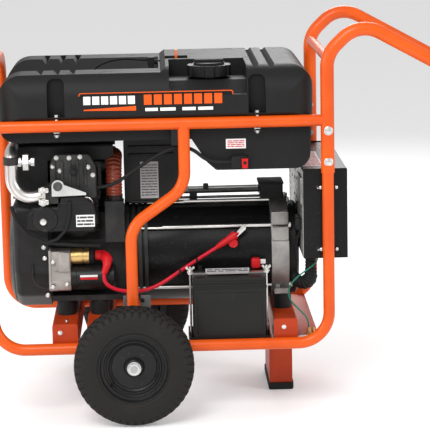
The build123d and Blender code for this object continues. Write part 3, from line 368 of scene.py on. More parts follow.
def smooth_corners(points, radius, closed=True, steps=5):
    """Each corner becomes the circular arc ((1-s)^2 a + 2ws(1-s) c + s^2 b) / (...), a and b on its two
    sides."""
    p = np.asarray(points, float)
    before, after = np.roll(p, 1, 0) - p, np.roll(p, -1, 0) - p
    before /= np.linalg.norm(before, axis=1, keepdims=True)
    after /= np.linalg.norm(after, axis=1, keepdims=True)
    half = np.arccos(np.clip((before * after).sum(1), -1, 1)) / 2
    reach = (np.broadcast_to(radius, half.shape) / np.tan(half))[:, None]
    w = np.sin(half)[:, None, None]
    s = np.linspace(0, 1, steps)[None, :, None]
    a, b, c = (p + before * reach)[:, None], (p + after * reach)[:, None], p[:, None]
    arcs = ((1 - s) ** 2 * a + 2 * w * s * (1 - s) * c + s ** 2 * b) / ((1 - s) ** 2 + 2 * w * s * (1 - s)
        + s ** 2)
    if closed:
        return arcs.reshape(-1, p.shape[1])
    return np.concatenate([p[:1], arcs[1:-1].reshape(-1, p.shape[1]), p[-1:]])


def rectangle(u0, u1, v0, v1):
    return [(u0, v0), (u1, v0), (u1, v1), (u0, v1)]


def slab(outline, plane, start, end, edge=0.0):
    """The outline pushed from start to end; near both ends it shrinks by edge * (1 - sin t) as a quarter
    round."""
    outline = np.asarray(outline, float)
    along = np.roll(outline, -1, 0) - np.roll(outline, 1, 0)
    area = (outline[:, 0] * np.roll(outline[:, 1], -1) - outline[:, 1] * np.roll(outline[:, 0], -1)).sum()
    outward = np.stack([along[:, 1], -along[:, 0]], 1) * np.sign(area)
    outward /= np.linalg.norm(outward, axis=1, keepdims=True) + 1e-12
    t = np.linspace(0, np.pi / 2, 4) if edge else np.array([np.pi / 2])
    shrink, rise = edge * (1 - np.sin(t)), edge * (1 - np.cos(t))
    way = 1 if end > start else -1
    places = np.concatenate([start + way * rise, end - way * rise[::-1]])
    shrink = np.concatenate([shrink, shrink[::-1]])
    ring = outline[None] - outward[None] * shrink[:, None, None]
    depth = np.broadcast_to(places[:, None], ring.shape[:2])
    axes = {"XZ": (ring[..., 0], depth, ring[..., 1]), "YZ": (depth, ring[..., 0], ring[..., 1]),
            "XY": (ring[..., 0], ring[..., 1], depth)}[plane]
    return closed_grid(np.stack(axes, -1))


def turned(profile, axis, centre, turns=48, hexed=None, loop=False):
    """Each (along, radius) is swept round the axis; where hexed is 1 the circle becomes a hexagon of
    that width."""
    profile = np.asarray(profile, float)
    angle = np.linspace(0, 2 * np.pi, turns, endpoint=False)
    six = np.cos(np.pi / 6) / np.cos((angle % (np.pi / 3)) - np.pi / 6)
    share = np.zeros(len(profile)) if hexed is None else np.asarray(hexed, float)
    radius = profile[:, 1:] * (1 + share[:, None] * (six[None] / np.cos(np.pi / 6) - 1))
    a, b = radius * np.cos(angle), radius * np.sin(angle)
    depth = np.broadcast_to(profile[:, :1], a.shape)
    order = {"X": (depth, a, b), "Y": (a, depth, b), "Z": (a, b, depth)}[axis]
    made = np.stack(order, -1) + np.asarray(centre, float)
    return looped_grid(made) if loop else closed_grid(made)


def pipe(path, radius, sides=20, beside=(0, 1, 0)):
    """A ring carried along the path: centre + radius * (cos q * side + sin q * up), side square to
    beside."""
    path = np.asarray(path, float)
    tangent = np.gradient(path, axis=0)
    tangent /= np.linalg.norm(tangent, axis=1, keepdims=True)
    side = np.cross(tangent, np.asarray(beside, float))
    side /= np.linalg.norm(side, axis=1, keepdims=True)
    up = np.cross(side, tangent)
    q = np.linspace(0, 2 * np.pi, sides, endpoint=False)[None, :, None]
    r = np.broadcast_to(radius, (len(path),))[:, None, None]
    return closed_grid(path[:, None] + r * (np.cos(q) * side[:, None] + np.sin(q) * up[:, None]))


def along_path(points, radius, closed=False, spacing=4.0):
    """A route with rounded corners, resampled at even steps of its length."""
    bent = smooth_corners(points, radius, closed, 9)
    length = np.concatenate([[0], np.cumsum(np.linalg.norm(np.diff(bent, axis=0), axis=1))])
    even = np.linspace(0, length[-1], max(3, int(length[-1] / spacing)))
    return np.stack([np.interp(even, length, bent[:, k]) for k in range(bent.shape[1])], 1)


# %% [markdown]
# ## From outline to piece
# A shape is only points and faces until it becomes an object. One function merges doubled points, turns
# the faces outwards, shades it and says which body it rides on, so no piece can miss a step. Bolts and
# screws come from two short profiles.

# %% Pieces
MM = 0.001  # outlines are written in millimetres, the scene is in metres
MERGE = 0.00001  # metres; points closer than this become one
CRANK_AXIS = (0, 0, 386)
MOTOR_AXIS = (0, -165, 350)
SOLENOID_AXIS = (0, -165, 406)
HANDLE_BOLTS = ((252, 740), (252, 660))
POCKETS_X = (-438, 72)


def piece(name, shape, finish, body="frame", replaces=(), crease=32):
    """Makes the mesh, merges doubled points, turns all faces outwards and hands the piece to its body."""
    points, faces = shape
    mesh = bpy.data.meshes.new(name)
    mesh.from_pydata((points * MM).tolist(), [], faces)
    work = bmesh.new()
    work.from_mesh(mesh)
    bmesh.ops.remove_doubles(work, verts=work.verts, dist=MERGE)
    bmesh.ops.recalc_face_normals(work, faces=work.faces)
    work.to_mesh(mesh)
    work.free()
    mesh.shade_smooth()
    mesh.set_sharp_from_angle(angle=math.radians(crease))
    mesh.materials.append(finish)
    made = bpy.data.objects.new(name, mesh)
    bpy.context.scene.collection.objects.link(made)
    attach(made, body)
    if replaces:
        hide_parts(*replaces)
    return made


def bolt(axis, place, across, height, out=1, turns=24):
    """A hexagon head on a thin washer; out is the way it points along the axis."""
    r = across / 2
    profile = [(0, r * 1.5), (height * 0.18, r * 1.5), (height * 0.18, r), (height * 0.85, r),
               (height, r * 0.8)]
    profile = [(out * a, b) for a, b in profile]
    return turned(profile, axis, place, turns, [0, 0, 1, 1, 0])


def round_screw(axis, place, radius, height, out=1, turns=20):
    """A domed screw head with a flat recess."""
    profile = [(0, radius), (0.45, radius), (0.8, radius * 0.85), (1.0, radius * 0.5), (0.7, radius * 0.42),
               (0.7, radius * 0.1)]
    return turned([(out * a * height, b) for a, b in profile], axis, place, turns)


print("helpers ready")

# %% [markdown]
# ## Cords
# A cable keeps its length and its bend, so it is a curve and not a mesh: a NURBS spline pulled through a
# few listed points, with a round bevel. A Bezier curve would need handles; a NURBS of order 3 is
# smooth without.

# %% Cords
def cord(name, route, diameter, finish, replaces):
    """A NURBS spline of order 3 with the route's points as its control points."""
    data = bpy.data.curves.new(name, "CURVE")
    data.dimensions = "3D"
    spline = data.splines.new("NURBS")
    spline.points.add(len(route) - 1)
    for point, place in zip(spline.points, route):
        point.co = (*place, 1.0)
    spline.order_u = 3
    spline.use_endpoint_u = True
    data.resolution_u = 12
    data.bevel_depth = diameter / 2
    data.bevel_resolution = 5
    data.use_fill_caps = True
    data.materials.append(finish)
    made = bpy.data.objects.new(name, data)
    bpy.context.scene.collection.objects.link(made)
    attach(made, "frame")
    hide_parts(replaces)
    print(name, "control points:", len(route))
    return made


STARTER_CABLE = [
    (-0.356, -0.165, 0.406), (-0.334, -0.165, 0.406), (-0.320, -0.182, 0.402), (-0.322, -0.202, 0.388),
    (-0.332, -0.211, 0.364), (-0.328, -0.211, 0.340), (-0.304, -0.208, 0.324), (-0.268, -0.204, 0.316),
    (-0.226, -0.200, 0.317), (-0.186, -0.193, 0.330), (-0.146, -0.182, 0.354), (-0.104, -0.168, 0.378),
    (-0.062, -0.156, 0.402), (-0.022, -0.150, 0.424), (0.008, -0.144, 0.443), (0.030, -0.134, 0.456)]
FUEL_HOSE = [
    (-0.351, -0.200, 0.594), (-0.328, -0.200, 0.594), (-0.302, -0.207, 0.602), (-0.276, -0.215, 0.617),
    (-0.244, -0.221, 0.640), (-0.212, -0.227, 0.662), (-0.178, -0.234, 0.683), (-0.146, -0.241, 0.698),
    (-0.116, -0.248, 0.702), (-0.090, -0.256, 0.694), (-0.066, -0.264, 0.674), (-0.042, -0.268, 0.663),
    (-0.012, -0.268, 0.663)]
VENT_HOSE = [
    (-0.352, 0.030, 0.852), (-0.352, 0.030, 0.870), (-0.340, 0.030, 0.885), (-0.316, 0.030, 0.896),
    (-0.288, 0.031, 0.902), (-0.256, 0.032, 0.904), (-0.228, 0.030, 0.900), (-0.204, 0.030, 0.900)]
GROUND_WIRE = [
    (0.226, -0.225, 0.402), (0.226, -0.225, 0.390), (0.214, -0.225, 0.378), (0.194, -0.225, 0.364),
    (0.172, -0.225, 0.348), (0.154, -0.225, 0.328), (0.148, -0.225, 0.306), (0.154, -0.226, 0.286),
    (0.170, -0.228, 0.268), (0.188, -0.232, 0.251), (0.200, -0.235, 0.234), (0.200, -0.235, 0.216)]
cord("starter_cable", STARTER_CABLE, 0.010, RED_CABLE, "positive_cable")
cord("fuel_line", FUEL_HOSE, 0.0095, RUBBER, "fuel_hose")
cord("vent_line", VENT_HOSE, 0.007, RUBBER, "vent_hose")
cord("earth_wire", GROUND_WIRE, 0.004, GREEN, "ground_wire")

# %% [markdown]
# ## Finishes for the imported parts
# Most parts keep the shape they were built with, so only their material changes. A table of part names is
# easier to read and to correct than sixty assignments.

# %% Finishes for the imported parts
FINISHES = {
    ORANGE: "left_uprights right_uprights upper_rails lower_rails s_posts handle_arms cross_tubes",
    EYE: "lifting_eye",
    # the channels take the darker orange as painted shade, not as a paint of their own
    ORANGE_SHADED: "cross_channels foot_channel",
    GREY_BRACKET: "axle_brackets",
    BLACK: "battery_tray blower_housing engine_shroud muffler control_panel",
    GLOSS_BLACK: "stator control_box",
    RUBBER: "foot_pad rubber_mounts cap_gasket harness_boot",
    TYRE: "tyre_near tyre_far",
    STEEL: "axle crankshaft rotor",
    TANK: "fuel_tank",
    CAP: "fuel_cap",
    DARK_CAST: "crankcase head_covers bell_housing",
    GREY_CAST: "cylinders carburettor intake_screen",
    CAST_ALU: "flywheel_fan rear_end_bell",
    STARTER_CAST: "starter",
    PLASTIC: "air_cleaner rear_cover terminal_box main_breaker fuel_valve rim_near rim_far",
    DUCT: "intake_duct",
    ZINC: "governor_arm bolts_and_nuts",
    EXHAUST: "exhaust_elbow",
    ROD_ZINC: "stay_bolts battery_hold_down",
    BATTERY: "battery",
    BACK_ZINC: "control_box_back",
    RED: "start_switch fuel_valve_lever",
    BRASS: "ground_stud",
    RED_CABLE: "positive_cable",
    GREEN: "ground_wire",
}
for finish, names in FINISHES.items():
    for name in names.split():
        nodes[name].data.materials.clear()
        nodes[name].data.materials.append(finish)
print("finished parts:", sum(len(names.split()) for names in FINISHES.values()))

# %% [markdown]
# ## Wheels
# The tread is a height field on a ring: every point of the tyre's section moves inwards where a groove
# runs. Ribs, half-pitch offsets and rounded shoulder lugs come from three short masks, which is far less
# work than cutting four hundred blocks with booleans.

# %% Tyres
WHEEL_X, WHEEL_Y, WHEEL_R = -257.0, 349.0, 154.5
TYRE_SECTION = [(-38, 89), (-46, 97), (-47, 116), (-44, 136), (-36, 149), (-18, 153.8), (0, 154.5),
                (18, 153.8), (36, 149), (44, 136), (47, 116), (46, 97), (38, 89), (34, 90), (32, 134),
                (0, 141), (-32, 134), (-34, 90)]


def ramp(value, low, high):
    """0 below low, 1 above high, smooth between."""
    t = np.clip((value - low) / (high - low), 0, 1)
    return t * t * (3 - 2 * t)


def tyre_surface(side, lugs=46, per_lug=12):
    """Section (y, r) swept round; r shrinks by 5 mm times the groove mask, and by rings on the side
    wall."""
    section = along_path(smooth_corners(TYRE_SECTION, [4, 6, 30, 18, 16, 60, 200, 60, 16, 18, 30, 6, 4, 2,
                                                       6, 60, 6, 2]),
                         0.5, False, 2.0)
    y, r = section[:, :1], section[:, 1:]
    turn = np.arange(lugs * per_lug)[None] / per_lug
    rib = (np.abs(y) > 12).astype(float) + (np.abs(y) > 29)
    phase = (turn + 0.5 * (rib == 1) + 0.02 * y * (rib == 0)) % 1.0
    across = 1 - ramp(np.abs(phase - 0.5), 0.10, 0.20)
    around = 1 - ramp(np.minimum(np.abs(np.abs(y) - 12), np.abs(np.abs(y) - 29)), 1.0, 2.4)
    on_tread = ramp(r, 136, 142)
    deep = np.maximum(across, around * ramp(r, 142, 146)) * on_tread * (r > 135)
    outer = (np.abs(y) > 37) | (r > 142)
    rings = 0.9 * np.exp(-((r - 102) / 1.6) ** 2) + 0.7 * np.exp(-((r - 127) / 1.2) ** 2)
    wall = (np.abs(y) > 40) * outer
    radius = r - 5.0 * deep * outer
    width = y - np.sign(y) * (1.6 * across * ramp(r, 128, 140) + rings) * wall
    angle = 2 * np.pi * turn / lugs
    ring = np.stack([WHEEL_X + radius * np.cos(angle), side * WHEEL_Y + np.broadcast_to(width,
        radius.shape),
                     WHEEL_R + radius * np.sin(angle)], -1)
    return looped_grid(ring)


for side, name in ((-1, "near"), (1, "far")):
    tyre = piece("tread_" + name, tyre_surface(side), TYRE, "wheel_" + name,
                 ["tyre_" + name], 40)
    print(tyre.name, len(tyre.data.vertices), "points")

# %% [markdown]
# ## Rims
# A pressed rim is one dished sheet with a hub, so its section turned round the axle gives the whole of
# it. A lathe-like Screw modifier would do the same, but the section is already here as numbers. The valve
# stem is a short pipe that narrows towards its cap.

# %% Rims
RIM_SECTION = [(38, 89.5), (39.5, 91.5), (41, 91), (41, 88), (37, 86.5), (30, 85), (27, 84.5), (27, 78),
               (22, 76.5), (20, 71), (24, 69.5), (24, 66), (17, 64), (13, 59), (15.5, 57), (15.5, 27),
               (31, 22), (32, 20), (32, 9.6), (-32, 9.6), (-32, 20), (-10, 24), (8, 30), (8, 58), (8, 66),
               (-32, 74), (-34, 88.5), (-38, 89.5), (-38, 86), (-35, 70.5), (12, 70.5), (18, 79), (26, 88)]


def rim_surface(side):
    """The rim's section with rounded steps, turned round the axle; the dished face looks outwards."""
    section = smooth_corners(RIM_SECTION, 0.9, True, 4)
    return turned([(side * y, r) for y, r in section], "Y", (WHEEL_X, side * WHEEL_Y, WHEEL_R), 96,
                  loop=True)


def valve_stem(side):
    """A short rubber stem with a cap, leaning out of the rim's second step."""
    angle = math.radians(218)
    foot = np.array([WHEEL_X + 73 * math.cos(angle), side * (WHEEL_Y + 20), WHEEL_R + 73 * math.sin(angle)])
    tip = foot + np.array([0, side * 17, 0]) - 8 * np.array([math.cos(angle), 0, math.sin(angle)])
    path = np.linspace(0, 1, 9)[:, None] * (tip - foot) + foot
    return pipe(path, [4.5, 4.2, 3.6, 3.2, 3.2, 3.6, 3.6, 3.4, 2.2], 14, (1, 0, 0))


for side, name in ((-1, "near"), (1, "far")):
    piece("wheel_disc_" + name, rim_surface(side), BLACK, "wheel_" + name, ["rim_" + name], 30)
    piece("valve_stem_" + name, valve_stem(side), RUBBER, "wheel_" + name)
print("rims done")

# %% [markdown]
# ## Tank furniture and labels
# Labels are thin plates that follow the face they sit on. Their print is generic: plain bars and a wedge
# stand for words, so that the colours are right from a distance and nothing is spelt.

# %% Labels
NEAR_FACE = [(770, -252.0), (785, -280.3), (800, -285.0), (832, -285.0), (840, -284.6), (850, -282.8),
             (860, -279.7), (870, -274.8), (879, -268.7)]


def skin_plate(x0, x1, z0, z1, lift, radius):
    """A plate on the tank's near face: y is looked up from the height, and lift raises it off the skin."""
    outline = smooth_corners(rectangle(x0, x1, z0, z1), radius)
    height, depth = zip(*NEAR_FACE)
    y = np.interp(outline[:, 1], height, depth) - lift
    front = np.stack([outline[:, 0], y, outline[:, 1]], 1)
    return closed_grid(np.stack([front + [0, 0.5, 0], front]))


def flat_plate(outline, plane, at, thick):
    """A flat label: the outline pushed by its thickness towards the viewer."""
    return slab(outline, plane, at, at + thick)


def bars(x0, x1, z0, z1, rows, plane, at, thick, seed=1, gap=0.45):
    """Rows of short bars of mixed length, the look of fine print."""
    rng = np.random.default_rng(seed)
    pitch = (z1 - z0) / rows
    shapes = []
    for row in range(rows):
        start, low = x0, z0 + pitch * (row + gap / 2)
        while start < x1 - 2:
            end = min(x1, start + (x1 - x0) * rng.uniform(0.12, 0.5))
            shapes.append(flat_plate(rectangle(start, end, low, low + pitch * (1 - gap)), plane, at, thick))
            start = end + (x1 - x0) * 0.04
    return joined(*shapes)


DECAL_LOW, DECAL_HIGH = 788.0, 850.0
piece("decal_border", skin_plate(-380, 12, DECAL_LOW, DECAL_HIGH, 0.5, 6), ORANGE)
piece("decal_ground", skin_plate(-377.5, 9.5, DECAL_LOW + 2.5, DECAL_HIGH - 2.5, 0.9, 5), GLOSS_BLACK)


def flat_on_tank(outline, lift=1.6):
    return slab(outline, "XZ", -284.2, -285.0 - lift)


name_bars = [flat_on_tank(rectangle(-368 + 22.5 * n, -350 + 22.5 * n, 820, 841)) for n in range(6)]
piece("decal_bars", joined(*name_bars), WHITE)
wedge = flat_on_tank([(-368, 805), (-235, 803), (-235, 815), (-368, 808)])
type_bars = [flat_on_tank(rectangle(-215 + 25.5 * n, -195 + 25.5 * n, 817, 843)) for n in range(8)]
piece("decal_orange", joined(wedge, *type_bars), ORANGE)
small = [flat_on_tank(rectangle(a, b, 801, 809)) for a, b in ((-212, -180), (-174, -135), (-118, -84),
    (-78, -40))]
piece("decal_small_bars", joined(*small), WHITE)
piece("valve_label", flat_plate(rectangle(-8, 43, 695, 720), "XZ", -252.0, -0.8), WHITE)
piece("valve_label_print", bars(-4, 39, 698, 717, 4, "XZ", -252.6, -0.5, 3), RED_INK)
print("tank labels done")

# %% [markdown]
# ## Tank bolts and handle bolts
# Bright bolts sit in the pockets of the tank and on the sleeves of the handle. They could be instances of
# one bolt, but joined copies leave one piece for each row.

# %% Tank bolts and seams
pocket_bolts = [bolt("Z", (x, y, 768), 13, 9) for x in POCKETS_X for y in (-268, 268)]
piece("pocket_bolts", joined(*pocket_bolts), ZINC)
under_nuts = [bolt("Z", (x, y, 751), 13, 12, -1) for x in POCKETS_X for y in (-275, 275)]
piece("rail_nuts", joined(*under_nuts), ZINC)
arm_washers = [round_screw("Y", (x, side * (291 if z > 700 else 290), z), 11.5, 3, side)
               for x, z in HANDLE_BOLTS for side in (-1, 1)]
piece("arm_washers", joined(*arm_washers), ZINC)
arm_bolts = [bolt("Y", (x, side * 293, z), 13, 5, side) for x, z in HANDLE_BOLTS for side in (-1, 1)]
piece("arm_bolts", joined(*arm_bolts), ROD_ZINC)
strip = slab(rectangle(-330, -180, -70, -40), "XY", 852.3, 853.0)
piece("valley_sticker", strip, WHITE)
piece("valley_sticker_print", slab(rectangle(-328, -200, -68, -58), "XY", 852.6, 853.4), RED_INK)
print("tank fittings done")

# %% [markdown]
# ## Engine, starter and intake
# These small castings give the engine its look: bright screws against black, a ribbed hose, a gold
# solenoid. Each is a turned or pushed outline, replacing the plain body that stood in for it.

# %% Starter
def starter_body():
    """The starter's nose as a pushed outline, with a flange, an ear and two ribs."""
    side = [(-195, 320), (-135, 320), (-129, 350), (-141, 426), (-189, 426), (-201, 350)]
    nose = slab(smooth_corners(side, 7), "YZ", -473, -418, 2.5)
    flange = slab(smooth_corners([(-201, 322), (-133, 322), (-129, 352), (-139, 430), (-191, 430),
                                  (-203, 352)], 7),
                  "YZ", -475, -468, 1)
    ear = slab(smooth_corners(rectangle(-450, -420, 372, 424), 6), "XZ", -196, -202, 1.5)
    ribs = [slab(rectangle(-462, -420, z, z + 2.5), "XZ", -196, -203.5, 0.6) for z in (352, 376)]
    return joined(nose, flange, ear, *ribs)


piece("starter_nose", starter_body(), STARTER_CAST, replaces=["starter"])
motor = turned([(-418, 20), (-418, 33), (-404, 33), (-403, 32), (-316, 32), (-315, 33.2), (-306, 33.2),
                (-303, 29), (-300, 18)], "X", MOTOR_AXIS, 56)
piece("starter_motor", motor, BLACK)
coil = turned([(-418, 12), (-418, 20.5), (-414, 21), (-388, 21), (-387.5, 19), (-382.5, 19), (-382, 21),
               (-370, 21), (-369, 18)], "X", SOLENOID_AXIS, 48)
piece("solenoid", coil, GOLD)
cap = turned([(-370, 17), (-369, 19), (-358, 18), (-356, 14), (-353, 6), (-340, 5)], "X", SOLENOID_AXIS, 32)
piece("solenoid_cap", cap, RUBBER)
screws = [round_screw("Y", (x, -203, z), 6, 4, -1) for x, z in ((-463, 400), (-465, 334), (-428, 340))]
piece("starter_screws", joined(*screws), ROD_ZINC)
piece("motor_strip_white", slab(rectangle(-394, -348, 356.5, 362), "XZ", -196.5, -198.2), WHITE)
piece("motor_strip_red", slab(rectangle(-394, -348, 350, 355.5), "XZ", -196.5, -198.2), RED)
boot_path = along_path([(-352, -165, 408), (-332, -168, 408), (-322, -188, 402), (-323, -203, 388),
                        (-331, -210, 366)], 12)
piece("solenoid_boot", pipe(boot_path, np.interp(np.linspace(0, 1, len(boot_path)), [0, 0.15, 0.5, 0.75, 1],
                                                 [13, 13.5, 14, 10, 7]), 24), RED)
print("starter done")

# %% [markdown]
# ## Intake, exhaust and head
# The ribbed hose bends from the air cleaner to the carburettor, and its ribs are a wave in the radius.
# The head is a plate with ridges and screws. A displacement map could fake both, but real geometry
# catches the light at its edge.

# %% Intake, exhaust and head
def ribbed_duct():
    """A tube bent over, its radius rising and falling with the distance along it: r + 2.5 * |sin|."""
    path = along_path([(-300, -130, 550), (-300, -130, 652), (-300, -18, 652)], 40, False, 1.2)
    far = np.arange(len(path)) * 1.2
    wave = np.abs(np.sin(np.pi * far / 8.5))
    ends = np.minimum(ramp(far, 8, 14), 1 - ramp(far, far[-1] - 14, far[-1] - 8))
    return pipe(path, 19.4 + 2.5 * wave * ends, 40, (1, 0, 0))


piece("ribbed_duct", ribbed_duct(), DUCT, replaces=["intake_duct"])
bands = [turned([(z, 18), (z, 22.2), (z + 6, 22.2), (z + 6, 18)], "Z", (-300, -130, 0), 40)
         for z in (549, 557)]
piece("duct_bands", joined(*bands), BLACK)
knob = turned([(-237, 8), (-240, 9.5), (-247, 9.5), (-250, 8), (-251, 4)], "Y", (-482, 0, 515), 32)
piece("cleaner_knob", knob, ROD_ZINC)
piece("cleaner_label", slab(rectangle(-398, -350, 498, 529), "XZ", -236, -237.2), WHITE)
piece("cleaner_label_print", bars(-395, -353, 500, 527, 3, "XZ", -237.1, -0.6, 7), INK)
rim_line = along_path([(-518, -235, 530), (-500, -235, 540), (-446, -235, 540), (-440, -235, 560),
                       (-374, -235, 560), (-358, -235, 550), (-347, -235, 512), (-356, -235, 488),
                       (-498, -235, 492)], 9)
piece("cleaner_seam", pipe(rim_line, 2.2, 10), BLACK)
dome = turned([(-236, 34), (-239, 32), (-241, 26), (-242, 10)], "Y", (-478, 0, 520), 40)
piece("cleaner_dome", dome, BLACK)
loop = along_path([(-566, -214, 552), (-552, -222, 512), (-520, -226, 474), (-482, -228, 457),
                   (-400, -222, 447), (-339, -205, 441)], 30)
piece("breather_pipe", pipe(loop, 5.2, 14), RUBBER)
small_loop = along_path([(-413, -240, 566), (-414, -241, 528), (-424, -240, 492), (-448, -234, 466),
                         (-470, -229, 459)], 24)
piece("breather_branch", pipe(small_loop, 4.2, 12), RUBBER)
clamp = turned([(661, 15), (661, 19.5), (681, 19.5), (681, 15)], "Z", (-562, -215, 0), 40)
piece("exhaust_band", clamp, DARK_CAST)
ears = [slab(smooth_corners(rectangle(-492, -466, z, z + 13), 3), "XZ", -238, -247, 1.5)
        for z in (559, 590)]
piece("exhaust_flange", joined(*ears), EXHAUST)
nuts = [bolt("Y", (-481, -247, z), 12, 8, -1) for z in (565, 597)]
piece("flange_nuts", joined(*nuts), ZINC)
union = turned([(-545, 6), (-545, 11), (-536, 11), (-535, 9), (-532, 9), (-531, 20), (-517, 20), (-516, 9),
                (-512, 9), (-511, 10), (-502, 10), (-502, 6)], "X", (0, -205, 666), 36,
                [1, 1, 1, 0, 0, 1, 1, 0, 0, 1, 1, 1])
piece("pipe_union", union, ZINC)
HEAD_SCREWS = ((-445, 676), (-412, 675), (-384, 677), (-454, 653), (-436, 642), (-364, 650), (-352, 629),
               (-402, 588))
head_plate = slab(smooth_corners([(-462, 566), (-343, 566), (-343, 650), (-360, 684), (-450, 684),
                                  (-462, 660)], 10),
                  "XZ", -196, -214, 5)
piece("head_plate", head_plate, DARK_CAST)
ridge = [slab(smooth_corners(rectangle(-455 + 20 * n, -447 + 20 * n, 600, 668), 3.5), "XZ", -212, -219, 3)
         for n in range(5)]
piece("head_ridges", joined(*ridge), DARK_CAST)
screws = [bolt("Y", (x, -214, z), 8, 7, -1) for x, z in HEAD_SCREWS]
piece("head_screws", joined(*screws), ROD_ZINC)
plug = turned([(-214, 12), (-222, 12), (-223, 8), (-238, 7), (-240, 4)], "Y", (-401, 0, 641), 28)
piece("plug_boot", plug, RUBBER)
pivot = turned([(-241, 12), (-246, 12), (-247, 9), (-250, 8), (-250, 3)], "Y", (-442, 0, 606), 32)
piece("governor_pivot", pivot, GREY_CAST, body="governor")
link = along_path([(-372, -245, 577), (-362, -244, 575), (-355, -238, 566), (-352, -226, 552)], 6)
piece("governor_link", pipe(link, 1.8, 10), ROD_ZINC, body="governor")
print("intake, exhaust and head done")

# %% [markdown]
# ## Blower housing and muffler
# Pressed sheet has beads and folded rims that stiffen it. They are thin pipes, turned rings and rounded
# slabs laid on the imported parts, which are left as they are.

# %% Blower housing and muffler
scoop = along_path([(-516, -190, 392), (-518, -191, 360), (-508, -191, 338), (-488, -190, 329),
                    (-476, -189, 328)], 22)
piece("blower_scoop", pipe(scoop, 3.2, 12), BLACK)
blower_screws = [round_screw("Y", (x, -188, z), 6.5, 5, -1)
                 for x, z in ((-487, 437), (-485, 408), (-480, 309))]
piece("blower_screws", joined(*blower_screws), ROD_ZINC)
edge = turned([(-566, 118), (-566, 130), (-572, 130), (-575, 124), (-574, 118)], "X", CRANK_AXIS, 96,
              loop=True)
piece("screen_rim", edge, GREY_CAST)
piece("muffler_label", slab(rectangle(-231, -183, 541, 639), "XZ", -75, -76.2), GREY_LABEL)
piece("muffler_label_print", bars(-228, -186, 546, 634, 12, "XZ", -76.1, -0.5, 11, 0.6), INK)
ribs = [slab(smooth_corners(rectangle(-262, -140, z, z + 7), 3), "XZ", -74, -79, 2.5)
        for z in (528, 655, 676)]
piece("muffler_ribs", joined(*ribs), BLACK)
print("blower and muffler done")

# %% [markdown]
# ## Alternator, battery and control box
# Here most of the light comes from bright metal on black: long stay rods, a cast end, wing nuts and screw
# heads. The printed labels are again bars only.

# %% Alternator
rods = [turned([(a, 2), (a, r), (b, r), (b, 2)], "X", (0, y, z), 20)
        for a, b, r, y, z in ((-176, 112, 4.6, -114, 468), (-117, 108, 4.2, -88, 532))]
piece("bright_rods", joined(*rods), ROD_ZINC)
edge = slab(rectangle(-104, 83, 551, 558), "XZ", -43, -46, 0.8)
piece("tray_edge", edge, GREY_CAST)
lip = slab(smooth_corners(rectangle(-104, 83, 557, 563), 2), "XZ", -38, -44, 1)
piece("tray_lip", lip, BACK_ZINC)
box_lid = slab(smooth_corners(rectangle(84, 152, -49, 49), 6), "XY", 564, 570, 2)
piece("junction_lid", box_lid, PLASTIC)
clip = slab(smooth_corners(rectangle(-64, -50, 556, 572), 3), "XZ", -40, -50, 1)
piece("tray_clip", clip, PLASTIC)
lugs = [slab(smooth_corners(rectangle(112, 158, 470, 506), 4), "XZ", -118, -134, 2),
        slab(smooth_corners(rectangle(112, 158, 430, 466), 4), "XZ", -138, -146, 2)]
piece("end_lugs", joined(*lugs), CAST_ALU)
end_bolts = [bolt("X", (158, 140 * math.cos(math.radians(a)), 386 + 140 * math.sin(math.radians(a))), 13, 8)
             for a in (35, 75, 105, 145, 215, 325)]
piece("end_bolts", joined(*end_bolts), ROD_ZINC)
rings = [turned([(184, r - 3), (184, r), (186.5, r), (186.5, r - 3)], "X", CRANK_AXIS, 72, loop=True)
         for r in (108, 84, 60)]
piece("rear_grille", joined(*rings), PLASTIC)
print("alternator done")

# %% [markdown]
# ## Battery
# The case has a rim of short vertical teeth between two rails, a red terminal cap and a hold-down with
# wing nuts. An Array modifier could repeat the teeth, but a list of slabs keeps every size in view.

# %% Battery
CASE_LEFT, CASE_RIGHT = -101, 88
rail_pieces = [slab(smooth_corners(rectangle(CASE_LEFT - 2, CASE_RIGHT + 2, 336 + 9 * n, 340 + 9 * n), 1.8),
                    "XZ", -258, -262, 1) for n in range(2)]
rail_pieces += [slab(rectangle(CASE_LEFT + 9 * n, CASE_LEFT + 3 + 9 * n, 330, 336), "XZ", -258, -261)
                for n in range(22)]
piece("battery_rim", joined(*rail_pieces), BATTERY)
piece("battery_panel", slab(smooth_corners(rectangle(CASE_LEFT + 10, CASE_RIGHT - 10, 196, 318), 4), "XZ",
                            -258, -259.5, 1), BATTERY)
piece("battery_label", slab(rectangle(-62, 46, -228, -196), "XY", 362, 363.4), GREY_LABEL)
piece("battery_label_front", slab(rectangle(-66, 48, 359, 373), "XZ", -208, -209.4), GREY_LABEL)
piece("battery_label_print", bars(-62, 44, 360, 372, 3, "XZ", -209.4, -0.5, 5), INK)


def wing_nut(x):
    """A hub with two ears, each a rounded triangle, on the end of the hold-down rod."""
    hub = turned([(362, 6), (362, 9), (365, 9), (366, 6.5), (374, 5.5), (375, 3)], "Z", (x, -200, 0), 28)
    ears = [slab(smooth_corners([(x + s * 3, 364), (x + s * 13, 374), (x + s * 9, 380), (x + s * 3, 372)],
                                1.6), "XZ",
                 -201.6, -198.4, 0.8) for s in (-1, 1)]
    return joined(hub, *ears)


